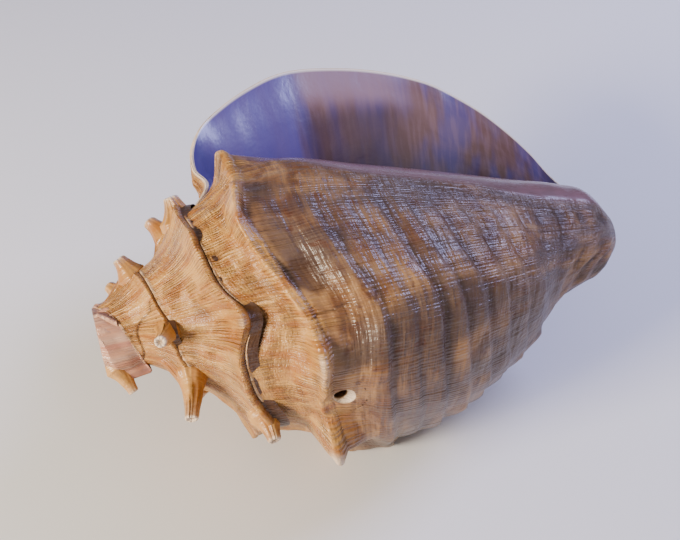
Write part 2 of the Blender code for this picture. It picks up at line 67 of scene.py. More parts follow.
FULL_TURN = 360.0
MM = 1000.0
STATION_SCALE = 100.0
X_AXIS = np.array((1.0, 0.0, 0.0))


def smooth_step(start: float, end: float, value: Array | float) -> Array:
    """Rise from 0 at start to 1 at end with flat ends.

    Args:
        start: Place where the rise starts.
        end: Place where the rise ends.
        value: Places to read.

    Returns:
        Shares from 0 to 1.
    """
    share = np.clip((np.asarray(value, float) - start) / (end - start), 0.0, 1.0)
    return share * share * (3.0 - 2.0 * share)


def fall(start: float, end: float, value: Array | float) -> Array:
    """Fall from 1 at start to 0 at end with flat ends."""
    return 1.0 - smooth_step(start, end, value)


def bell(centre: float | Array, width: float, value: Array) -> Array:
    """Give a bell curve that is 1 at its centre."""
    return np.exp(-((value - centre) / width) ** 2)


def unit(ways: Array) -> Array:
    """Scale ways to a length of 1."""
    return ways / np.linalg.norm(ways, axis=-1, keepdims=True)


def hermite(share: Array) -> tuple[Array, Array, Array, Array]:
    """Give the four cubic Hermite weights.

    Args:
        share: Share of the way from the start to the end.

    Returns:
        Weights of the start, its slope, the end and its slope.
    """
    square = share * share
    cube = square * share
    return 2 * cube - 3 * square + 1, cube - 2 * square + share, 3 * square - 2 * cube, cube - square


def curve_through(knots: tuple[Knot, ...], value: Array | float) -> Array:
    """Read a smooth curve that passes through knots.

    Args:
        knots: Pairs of place and height, in rising order of place.
        value: Places to read.

    Returns:
        Heights at those places.
    """
    places = np.array([knot[0] for knot in knots], float)
    heights = np.array([knot[1] for knot in knots], float)
    slopes = np.gradient(heights, places)
    clamped = np.clip(np.asarray(value, float), places[0], places[-1])
    left = np.clip(np.searchsorted(places, clamped, side="right") - 1, 0, len(places) - 2)
    gap = places[left + 1] - places[left]
    start, start_slope, end, end_slope = hermite((clamped - places[left]) / gap)
    return (start * heights[left] + start_slope * gap * slopes[left]
            + end * heights[left + 1] + end_slope * gap * slopes[left + 1])


def lattice(column: Array, row: Array, seed: int) -> Array:
    """Give each lattice point a fixed value from -1 to 1.

    Args:
        column: Whole column numbers.
        row: Whole row numbers.
        seed: Number that tells one pattern from another.

    Returns:
        One value for each point.
    """
    mixed = (column * 374761393 + row * 668265263 + seed * 974634777) & 0xFFFFFFFF
    mixed = ((mixed ^ (mixed >> 13)) * 1274126177) & 0xFFFFFFFF
    return ((mixed ^ (mixed >> 16)) & 0xFFFF) / 32767.5 - 1.0


def ripple(x: Array, y: Array, seed: int) -> Array:
    """Give smooth irregular waves about one unit long.

    Args:
        x: First coordinate.
        y: Second coordinate.
        seed: Number that tells one pattern from another.

    Returns:
        Heights from about -1 to 1.
    """
    x, y = np.broadcast_arrays(x, y)
    column = np.floor(x).astype(np.int64)
    row = np.floor(y).astype(np.int64)
    across = smooth_step(0.0, 1.0, x - column)
    down = smooth_step(0.0, 1.0, y - row)
    top = lattice(column, row, seed) * (1 - across) + lattice(column + 1, row, seed) * across
    low = lattice(column, row + 1, seed) * (1 - across) + lattice(column + 1, row + 1, seed) * across
    return top * (1 - down) + low * down


class Relief(Enum):
    """What stands on the plain form of the outside."""

    PLAIN = 0
    KNOBS = 1


class KnobForm(Enum):
    """Form of a knob on the shoulder."""

    BROAD = 0
    BLUNT = 1
    FINGER = 2


@dataclass(frozen=True)
class Knob:
    """A knob or spine of the shoulder."""

    angle: float
    height: float
    half_width: float
    station: float
    half_station: float
    lean: float
    form: KnobForm
    wear: float = 0.0
    tip_radius: float = 0.0027
    root_radius: float = 0.0050

    def reach(self, angle: Array, station: Array) -> Array:
        """Give the distance from the tip, which is 1 at the foot.

        Args:
            angle: Growth angles.
            station: Stations.

        Returns:
            Reaches, held at 1 outside the knob.
        """
        reach = np.hypot((angle - self.angle) / self.half_width,
                         (station - self.station) / self.half_station)
        return np.minimum(reach, 1.0)

    def share(self, reach: Array) -> Array:
        """Give the share of the knob's height at a reach.

        Args:
            reach: Reaches from the tip.

        Returns:
            Shares from 0 to 1.
        """
        dome = np.clip(1.0 - reach ** 2, 0.0, 1.0)
        if self.form is KnobForm.BROAD:
            return dome ** 1.6
        if self.form is KnobForm.BLUNT:
            return dome ** 2.2
        return 0.46 * dome ** 1.7

    def way(self) -> Array:
        """Give the way from the foot's middle to the tip."""
        turn = math.radians(self.angle)
        return np.array([self.lean, -self.height * math.sin(turn), self.height * math.cos(turn)])

    def shift(self, angle: Array, station: Array) -> Array:
        """Give how far the knob moves points of the shell frame."""
        return self.share(self.reach(angle, station))[..., None] * self.way()

    def worn(self, angle: Array, station: Array) -> Array:
        """Give where a broad or blunt knob's tip is worn white as a cap, and nothing on a finger.

        Args:
            angle: Growth angles.
            station: Stations.

        Returns:
            Shares of wear.
        """
        if self.form is KnobForm.FINGER:
            return np.zeros_like(station)
        return self.wear * fall(0.10, 0.34, self.reach(angle, station))


@dataclass(frozen=True)
class Crack:
    """A growth scar or fine crack along a line of growth angles and stations."""

    line: tuple[Knot, ...]
    width: float
    depth: float


@dataclass(frozen=True)
class LipEdge:
    """Free edge of the lip: knots of each coordinate by station."""

    x: tuple[Knot, ...]
    y: tuple[Knot, ...]
    z: tuple[Knot, ...]


def knobs_of_the_shell() -> tuple[Knob, ...]:
    """Give the knobs and spines, from the last whorl back to the apex.

    A row gives the angle, height, half width, station, half station, lean and form, and where they
    differ from the usual ones the wear, the tip's radius and the root's radius.

    Returns:
        The knobs.
    """
    broad, blunt, finger = KnobForm.BROAD, KnobForm.BLUNT, KnobForm.FINGER
    rows = (
        (2, 0.008, 13, 0.37, 0.13, 0, blunt, 0.25), (52, 0.0044, 22, 0.36, 0.13, -0.002, broad, 0.15),
        (47, 0.0032, 13, 0.37, 0.065, 0.001, broad), (114, 0.0036, 13, 0.36, 0.060, 0, broad, 0.5),
        (119, 0.006, 17, 0.37, 0.15, 0, broad, 0.25), (158, 0.013, 14, 0.36, 0.16, -0.0005, blunt, 0.9),
        (200, 0.0152, 17, 0.42, 0.17, 0.009, broad), (247, 0.0141, 17, 0.38, 0.18, 0.003, blunt, 0.6),
        (230, 0.0048, 32, 0.64, 0.20, 0.003, broad), (292, 0.007, 16, 0.38, 0.16, 0, broad),
        (-352, 0.0094, 19, 0.33, 0.27, -0.0016, finger, 0.8, 0.0029, 0.0066),
        (-387, 0.0100, 14, 0.34, 0.24, -0.0056, finger, 0.6, 0.0030, 0.0056),
        (-312, 0.002, 9, 0.36, 0.15, 0, blunt), (-263, 0.0060, 9, 0.36, 0.14, -0.0015, blunt, 0.3),
        (-210, 0.0105, 14, 0.35, 0.24, 0.0008, finger, 0.6, 0.0026, 0.0052),
        (-164, 0.0045, 10, 0.36, 0.20, -0.001, blunt, 0.4),
        (-120, 0.011, 14, 0.36, 0.23, -0.001, finger, 0.5),
        (-78, 0.011, 14, 0.35, 0.23, -0.003, finger, 0.4),
        (-717, 0.0074, 15, 0.34, 0.28, -0.0036, finger, 0.7, 0.0026, 0.0052),
        (-760, 0.0060, 13, 0.33, 0.26, -0.0038, finger, 0.3, 0.0023, 0.0042),
        (-619, 0.0125, 15, 0.33, 0.26, -0.004, finger, 1.0, 0.0024, 0.0044),
        (-572, 0.0182, 14, 0.35, 0.25, -0.0045, finger, 1.0, 0.0027, 0.0054),
        (-528, 0.0070, 10, 0.36, 0.22, -0.003, finger, 0.5),
        (-485, 0.010, 10, 0.36, 0.22, -0.003, finger, 0.4),
        (-442, 0.009, 10, 0.35, 0.22, -0.004, finger, 0.5),
        (-905, 0.0105, 12, 0.34, 0.25, 0.0040, finger, 0.6, 0.0021, 0.0038),
        (-862, 0.005, 12, 0.36, 0.25, -0.002, blunt), (-830, 0.006, 12, 0.36, 0.25, -0.002, blunt),
        (-780, 0.006, 12, 0.36, 0.25, -0.002, blunt),
    )
    return tuple(Knob(*row) for row in rows)


def edge_of_the_lip() -> LipEdge:
    """Give the lip's free edge, station by station, without its root on the spire.

    Returns:
        The lip's edge.
    """
    stations = (0.07, 0.115, 0.16, 0.21, 0.26, 0.31, 0.365, 0.42, 0.475, 0.53,
                0.58, 0.635, 0.69, 0.735, 0.78, 0.83, 0.88, 0.925, 0.96, 1.0)
    x = (0.0588, 0.0558, 0.0572, 0.0634, 0.0707, 0.0822, 0.0935, 0.1046, 0.1154, 0.1283,
         0.1434, 0.1582, 0.1725, 0.1838, 0.1941, 0.2034, 0.2121, 0.2181, 0.2223, 0.2270)
    y = (0.0198, 0.0270, 0.0342, 0.0396, 0.0441, 0.0486, 0.0522, 0.0549, 0.0576, 0.0594,
         0.0603, 0.0603, 0.0594, 0.0576, 0.0549, 0.0504, 0.0441, 0.0369, 0.0279, 0.0045)
    z = (0.0554, 0.0627, 0.0722, 0.0812, 0.0868, 0.0934, 0.0984, 0.1020, 0.1036, 0.1030,
         0.1006, 0.0967, 0.0911, 0.0848, 0.0759, 0.0655, 0.0520, 0.0390, 0.0253, 0.0050)
    return LipEdge(tuple(zip(stations, x)), tuple(zip(stations, y)), tuple(zip(stations, z)))


@dataclass(frozen=True)
class ShellForm:
    """The shell's growth curves, and the outside that they sweep."""

    canal_tip_x: float = 0.228
    parietal_angle: float = -10.0
    lip_angle: float = 350.0
    flare_angle: float = 232.0
    first_angle: float = -1090.0
    whorl_growth: float = 1.86
    curve_reach: float = 2.6
    roll: float = 45.0
    axis_place: Way = (-0.1152, -0.0240, 0.0727)
    shoulder_station: float = 0.36
    next_suture_at: float = 0.42
    last_suture_at: float = 0.06
    saw_x: float = 0.0008
    suture_x: tuple[Knot, ...] = (
        (-1100, -0.020), (-900, -0.009), (-720, 0.0005), (-630, 0.0105), (-540, 0.0165), (-450, 0.0195),
        (-340, 0.0218), (-255, 0.028), (-190, 0.034), (-100, 0.0385), (0, 0.0415), (40, 0.044),
        (116, 0.0504), (170, 0.056), (250, 0.0605))
    suture_radius: tuple[Knot, ...] = (
        (-1100, 0.005), (-900, 0.008), (-720, 0.0112), (-540, 0.0153), (-360, 0.0216), (-190, 0.029),
        (-100, 0.0345), (0, 0.040), (85, 0.0465), (170, 0.053), (250, 0.056))
    suture_swings: tuple[tuple[float, float, float], ...] = (
        (0, 9, 0.0055), (96, 8, 0.0075), (150, 8, 0.005), (-264, 9, 0.0015), (-215, 8, 0.0025),
        (-360, 9, 0.002))
    shoulder_x: tuple[Knot, ...] = (
        (-110, 0.0575), (-10, 0.0625), (20, 0.0645), (60, 0.0605), (80, 0.066), (103, 0.0755),
        (126, 0.0745), (158, 0.0795), (200, 0.085), (250, 0.090), (350, 0.092))
    shoulder_radius: tuple[Knot, ...] = (
        (-110, 0.057), (-10, 0.056), (45, 0.055), (81, 0.0555), (105, 0.057), (126, 0.058),
        (158, 0.060), (200, 0.063), (250, 0.065), (350, 0.066))
    front_outline: tuple[Knot, ...] = (
        (0, 1.0), (0.10, 1.02), (0.32, 0.879), (0.54, 0.732), (0.73, 0.60), (0.88, 0.489),
        (0.95, 0.398), (1, 0.20))
    back_outline: tuple[Knot, ...] = (
        (0, 1.0), (0.07, 1.04), (0.145, 1.09), (0.22, 1.085), (0.317, 1.035), (0.42, 0.95),
        (0.54, 0.81), (0.64, 0.67), (0.72, 0.50), (0.79, 0.38), (0.9, 0.29), (0.96, 0.225), (1, 0.14))
    lip_flare: Way = (-0.35, 0.35, 0.9)
    knobs: tuple[Knob, ...] = field(default_factory=knobs_of_the_shell)
    lip: LipEdge = field(default_factory=edge_of_the_lip)

    def axis_offset(self, x: Array | float) -> Array:
        """Give how far the section's centre is off the coiling axis."""
        return 0.0018 - 0.0018 * smooth_step(0.045, 0.100, x) - 0.0060 * smooth_step(0.090, 0.225, x)

    def place(self, x: Array, radius: Array, angle: Array) -> Array:
        """Turn axial place, radius and growth angle into points of the shell frame."""
        turn = np.radians(angle)
        return np.stack([x, -radius * np.sin(turn), radius * np.cos(turn) + self.axis_offset(x)], -1)

    def to_world(self, points: Array) -> Array:
        """Turn points of the shell frame into the world.

        Args:
            points: Points of the shell frame.

        Returns:
            Points of the world.
        """
        cosine, sine = math.cos(math.radians(self.roll)), math.sin(math.radians(self.roll))
        x, y, z = points[..., 0], points[..., 1], points[..., 2]
        return np.stack([x, y * cosine + z * sine, z * cosine - y * sine], -1) + np.array(self.axis_place)

    def free_suture(self, angle: Array) -> tuple[Array, Array]:
        """Give the suture's axial place and radius up to where the lip starts to climb.

        Args:
            angle: Growth angles.

        Returns:
            Axial places and radii.
        """
        angle = np.asarray(angle, float)
        x = curve_through(self.suture_x, angle)
        for centre, width, swing in self.suture_swings:
            x = x + swing * bell(centre, width * math.sqrt(2.0), angle)
        return x, curve_through(self.suture_radius, angle)

    def shoulder(self, angle: Array) -> tuple[Array, Array]:
        """Give the shoulder's axial place and radius.

        Args:
            angle: Growth angles.

        Returns:
            Axial places and radii.
        """
        angle = np.asarray(angle, float)
        next_x, next_radius = self.free_suture(angle + FULL_TURN)
        scale = next_radius / 0.050
        early_wall = 0.009 * fall(-860.0, -650.0, angle)
        late = smooth_step(-140.0, -100.0, angle)
        x = (next_x - 0.003 * scale - early_wall) * (1 - late)
        radius = (next_radius + 0.001 * scale) * (1 - late)
        return (x + curve_through(self.shoulder_x, angle) * late,
                radius + curve_through(self.shoulder_radius, angle) * late)

    def base_end(self, angle: Array) -> Array:
        """Give where a whorl's generating curve ends along the axis.

        Args:
            angle: Growth angles.

        Returns:
            Axial places.
        """
        angle = np.asarray(angle, float)
        early = np.minimum(angle, -FULL_TURN)
        shoulder_x, _ = self.shoulder(early)
        scaled = shoulder_x + 0.090 * self.whorl_growth ** (early / FULL_TURN + 1.0)
        before = np.clip((self.parietal_angle - angle) / 350.0, 0.0, 1.0)
        return np.where(angle > -FULL_TURN, self.canal_tip_x - 0.094 * before ** 0.9, scaled)

    def next_suture_station(self, angle: Array) -> Array:
        """Give the station where the next whorl is fixed to this one."""
        drop = self.last_suture_at - self.next_suture_at
        return self.next_suture_at + drop * smooth_step(-105.0, -12.0, angle)

    def profile_from(self, suture_x: Array, suture_radius: Array, angle: Array,
                     station: Array) -> tuple[Array, Array]:
        """Give axial place and radius on the generating curve that starts at a suture.

        Args:
            suture_x: Axial place of the suture.
            suture_radius: Radius of the suture.
            angle: Growth angles.
            station: Stations along the generating curve.

        Returns:
            Axial places and radii.
        """
        top_x, top_radius = self.shoulder(angle)
        free_x, free_radius = self.free_suture(angle + FULL_TURN)
        scale = top_radius / 0.057
        late = smooth_step(-140.0, -100.0, angle)
        under_x = free_x * (1 - late) + (top_x + 0.005 * scale) * late
        under_radius = free_radius * (1 - late) + (top_radius + 0.0003 * scale) * late

        run_x = top_x - suture_x
        run_radius = top_radius - suture_radius
        middle_x = 0.5 * (suture_x + top_x) + 0.085 * run_radius
        middle_radius = 0.5 * (suture_radius + top_radius) - 0.085 * run_x
        t = np.clip(station / self.shoulder_station, 0.0, 1.0)
        first, middle, last = (1 - t) * (1 - 2 * t), 4 * t * (1 - t), t * (2 * t - 1)
        ramp_x = suture_x * first + middle_x * middle + top_x * last
        ramp_radius = suture_radius * first + middle_radius * middle + top_radius * last

        t = np.clip((station - self.shoulder_station) / (self.next_suture_at - self.shoulder_station), 0, 1)
        edge_x = top_x + (under_x - top_x) * t
        edge_radius = top_radius + (under_radius - top_radius) * t + 0.0006 * scale * np.sin(math.pi * t)

        t = np.clip((station - self.next_suture_at) / (1.0 - self.next_suture_at), 0.0, 1.0)
        back = smooth_step(0.0, 150.0, angle)
        share = curve_through(self.front_outline, t) * (1 - back)
        share = share + curve_through(self.back_outline, t) * back
        wall_x = under_x + (self.base_end(angle) - under_x) * t
        wall_radius = top_radius * share + (under_radius - top_radius) * fall(0.0, 0.25, t)

        on_ramp = station < self.shoulder_station
        on_edge = station < self.next_suture_at
        x = np.where(on_ramp, ramp_x, np.where(on_edge, edge_x, wall_x))
        radius = np.where(on_ramp, ramp_radius, np.where(on_edge, edge_radius, wall_radius))
        return x, radius

    def suture(self, angle: Array) -> tuple[Array, Array]:
        """Give the suture's axial place and radius; near the lip it lies on the whorl before.

        Args:
            angle: Growth angles.

        Returns:
            Axial places and radii.
        """
        angle = np.asarray(angle, float)
        x, radius = self.free_suture(angle)
        before = np.minimum(angle, self.lip_angle) - FULL_TURN
        start_x, start_radius = self.free_suture(before)
        climb_x, climb_radius = self.profile_from(start_x, start_radius, before,
                                                  self.next_suture_station(before))
        climbing = smooth_step(245.0, 255.0, angle)
        return x + (climb_x - x) * climbing, radius + (climb_radius - radius) * climbing

    def coiled(self, angle: Array, station: Array) -> Array:
        """Give points of the coiled whorls without knobs.

        Args:
            angle: Growth angles.
            station: Stations.

        Returns:
            Points of the shell frame.
        """
        suture_x, suture_radius = self.suture(angle)
        x, radius = self.profile_from(suture_x, suture_radius, angle, station)
        return self.place(x, radius, angle)

    def lip_edge(self, station: Array) -> Array:
        """Give points of the lip's free edge, from its root on the spire to the canal.

        Args:
            station: Stations.

        Returns:
            Points of the shell frame.
        """
        angle = np.array([self.lip_angle])
        root_x, root_radius = self.suture(angle)
        root = self.place(root_x, root_radius, angle)[0]
        sides = zip(root, (self.lip.x, self.lip.y, self.lip.z))
        return np.stack([curve_through(((0.0, start), *side), station) for start, side in sides], -1)

    def flared(self, angle: Array, station: Array) -> Array:
        """Give points of the lip, which leaves the whorl on a tangent and opens to its free edge.

        Args:
            angle: Growth angles.
            station: Stations.

        Returns:
            Points of the shell frame.
        """
        share = (angle - self.flare_angle) / (self.lip_angle - self.flare_angle)
        start = self.coiled(np.full_like(station, self.flare_angle), station)
        tangent = (self.coiled(np.full_like(station, self.flare_angle + 1.0), station)
                   - self.coiled(np.full_like(station, self.flare_angle - 1.0), station))
        end = self.lip_edge(station)
        reach = np.linalg.norm(end - start, axis=-1, keepdims=True)
        flare = unit(np.array(self.lip_flare) + 0.7 * station[..., None] * X_AXIS)
        w0, w1, w2, w3 = (weight[..., None] for weight in hermite(share))
        return w0 * start + w1 * reach * unit(tangent) + w2 * end + w3 * 0.9 * reach * flare

    def outside(self, angle: Array, station: Array, relief: Relief = Relief.KNOBS) -> Array:
        """Give points of the shell's outside.

        Args:
            angle: Growth angles.
            station: Stations.
            relief: PLAIN leaves the knobs out.

        Returns:
            Points of the shell frame.
        """
        angle, station = np.broadcast_arrays(np.asarray(angle, float), np.asarray(station, float))
        points = self.coiled(angle, station)
        late = angle > self.flare_angle
        if late.any():
            lip_angle = np.clip(angle, self.flare_angle, self.lip_angle)
            lip = self.flared(lip_angle, station)
            foot = self.flared(lip_angle, np.zeros_like(station))
            suture_x, suture_radius = self.suture(lip_angle)
            on_suture = self.place(suture_x, suture_radius, lip_angle)
            lip = lip + (on_suture - foot) * fall(0.0, 0.30, station)[..., None]
            points = np.where(late[..., None], lip, points)
        if relief is not Relief.PLAIN:
            fade = fall(300.0, 335.0, angle)[..., None]
            for knob in self.knobs:
                if np.abs(angle - knob.angle).min() < knob.half_width:
                    points = points + knob.shift(angle, station) * fade
        return points

    def flow_of(self, angle: Array, station: Array) -> Array:
        """Give the flow attribute: both flow distances and the scaled station."""
        return np.stack([*self.flow(angle, station), station * STATION_SCALE], -1)

    def normal(self, angle: Array, station: Array) -> Array:
        """Give unit normals of the outside without knobs, pointing out of the shell.

        Args:
            angle: Growth angles.
            station: Stations.

        Returns:
            Unit normals.
        """
        turn, step = 0.5, 0.02
        station = np.clip(station, step, 1.0 - step)
        angle = np.minimum(angle, self.lip_angle - turn)
        plain = Relief.PLAIN
        along = self.outside(angle + turn, station, plain) - self.outside(angle - turn, station, plain)
        across = self.outside(angle, station + step, plain) - self.outside(angle, station - step, plain)
        return unit(np.cross(along, across))

    def wall(self, angle: Array) -> Array:
        """Give the wall's thickness: thin in the spire and at the lip's free edge.

        Args:
            angle: Growth angles.

        Returns:
            Thicknesses in metres.
        """
        _, radius = self.shoulder(angle)
        share = np.clip((radius - 0.020) / 0.035, 0.0, 1.0)
        wall = 0.0021 + 0.0019 * share
        return wall + (0.0018 - wall) * smooth_step(300.0, 349.0, angle)

    def flow(self, angle: Array, station: Array) -> tuple[Array, Array]:
        """Give distances along the growth and along the generating curve, in millimetres.

        Args:
            angle: Growth angles.
            station: Stations.

        Returns:
            Both distances.
        """
        step = 5.0
        knots = np.arange(self.first_angle, self.lip_angle + 1.0, step)
        _, radius = self.shoulder(knots)
        runs = 0.5 * (radius[1:] + radius[:-1]) * math.radians(step)
        travelled = np.concatenate([[0.0], np.cumsum(runs)])
        _, here = self.shoulder(angle)
        flare = 1.0 + 0.35 * smooth_step(self.flare_angle, self.lip_angle, angle)
        return MM * np.interp(angle, knots, travelled) * flare, MM * self.curve_reach * here * station


MASKS = ("wear", "glaze", "shade_and_dark_marks", "blush_and_painted_light", "painted_violet_light", "painted_shade")


@dataclass
class Sheet:
    """A grid of world points with values that steer the finish."""

    points: Array
    flow: Array
    masks: dict[str, Array]
    flipped: bool = False
    kept: Array | None = None

    def normals(self) -> Array:
        """Give smooth unit normals of the grid's points.

        Returns:
            Unit normals.
        """
        normal = np.cross(np.gradient(self.points, axis=0), np.gradient(self.points, axis=1))
        length = np.linalg.norm(normal, axis=-1, keepdims=True)
        normal = np.where(length > 1e-15, normal / np.maximum(length, 1e-15), np.array((0.0, 0.0, 1.0)))
        return -normal if self.flipped else normal

    def saw(self, plane: float) -> Array:
        """Leave out what lies wholly past a plane across the axis, and flatten the rest on to it.

        Args:
            plane: Axial place of the plane.

        Returns:
            True for each point that is sawn off.
        """
        gone = self.points[..., 0] <= plane
        self.kept = ~np.all(self.corners(gone), axis=0)
        self.points[..., 0] = np.maximum(self.points[..., 0], plane)
        return gone

    @staticmethod
    def corners(grid: Array) -> list[Array]:
        """Give a grid's values at the four corners of each quad, in order round it."""
        return [grid[:-1, :-1], grid[1:, :-1], grid[1:, 1:], grid[:-1, 1:]]

    def faces(self, first: int) -> Array:
        """Give the grid's quads.

        Args:
            first: Number of the grid's first vertex in its mesh.

        Returns:
            Corner numbers of each quad, in order round it.
        """
        lines, rows = self.points.shape[:2]
        start = first + np.arange(lines * rows).reshape(lines, rows)
        corners = self.corners(start)
        if self.flipped:
            corners.reverse()
        quads = np.stack(corners, -1)
        return quads[self.kept] if self.kept is not None else quads.reshape(-1, 4)


def mesh_from_sheets(name: str, sheets: list[Sheet]) -> bpy.types.Mesh:
    """Join sheets into one mesh with their values as attributes.

    Args:
        name: Name of the mesh.
        sheets: Grids with points in the world.

    Returns:
        The mesh, shaded smooth.
    """
    firsts = np.cumsum([0] + [sheet.points[..., 0].size for sheet in sheets])
    faces = np.concatenate([sheet.faces(int(first)) for sheet, first in zip(sheets, firsts)])
    used, corners = np.unique(faces, return_inverse=True)

    def joined(arrays: list[Array], width: int) -> Array:
        """Join one array of each sheet and keep the used vertices."""
        return np.concatenate([np.asarray(part).reshape(-1, width) for part in arrays])[used]

    mesh = bpy.data.meshes.new(name)
    points = joined([sheet.points for sheet in sheets], 3)
    mesh.from_pydata(points.tolist(), [], corners.reshape(-1, 4).tolist())
    flow = mesh.attributes.new("flow", "FLOAT_VECTOR", "POINT")
    flow.data.foreach_set("vector", joined([sheet.flow for sheet in sheets], 3).ravel())
    for mask in MASKS:
        blanks = [sheet.masks.get(mask, np.zeros(sheet.points.shape[:2])) for sheet in sheets]
        layer = mesh.attributes.new(mask, "FLOAT", "POINT")
        layer.data.foreach_set("value", joined(blanks, 1).ravel())
    mesh.shade_smooth()
    mesh.normals_split_custom_set_from_vertices(joined([sheet.normals() for sheet in sheets], 3).tolist())
    return mesh


def distance_to_line(u: Array, v: Array, line: Array) -> Array:
    """Give the distance from points to a line of straight runs.

    Args:
        u: First coordinates.
        v: Second coordinates.
        line: Corners of the line.

    Returns:
        Distances in the units of the coordinates.
    """
    nearest = np.full(u.shape, np.inf)
    for (u0, v0), (u1, v1) in zip(line[:-1], line[1:]):
        run = (u1 - u0) ** 2 + (v1 - v0) ** 2
        share = np.clip(((u - u0) * (u1 - u0) + (v - v0) * (v1 - v0)) / run, 0.0, 1.0)
        nearest = np.minimum(nearest, np.hypot(u - u0 - share * (u1 - u0), v - v0 - share * (v1 - v0)))
    return nearest


@dataclass(frozen=True)
class Wave:
    """A layer of low relief: its height in metres, its two lengths in millimetres and its pattern."""

    height: float
    along: float
    across: float
    seed: int

    def at(self, u: Array, v: Array, size: float | Array = 1.0) -> Array:
        """Give its heights; a size under 1 crowds its waves along the growth."""
        return self.height * ripple(u / (self.along * size), v / self.across, self.seed)


@dataclass(frozen=True)
class Dent:
    """A shallow dent: its place and half widths by growth angle and station, and its depth."""

    angle: float
    half_angle: float
    station: float
    half_station: float
    depth: float

    def at(self, angle: Array, station: Array) -> Array:
        """Give the dent's depths."""
        return (self.depth * bell(self.angle, self.half_angle, angle)
                * bell(self.station, self.half_station, station))


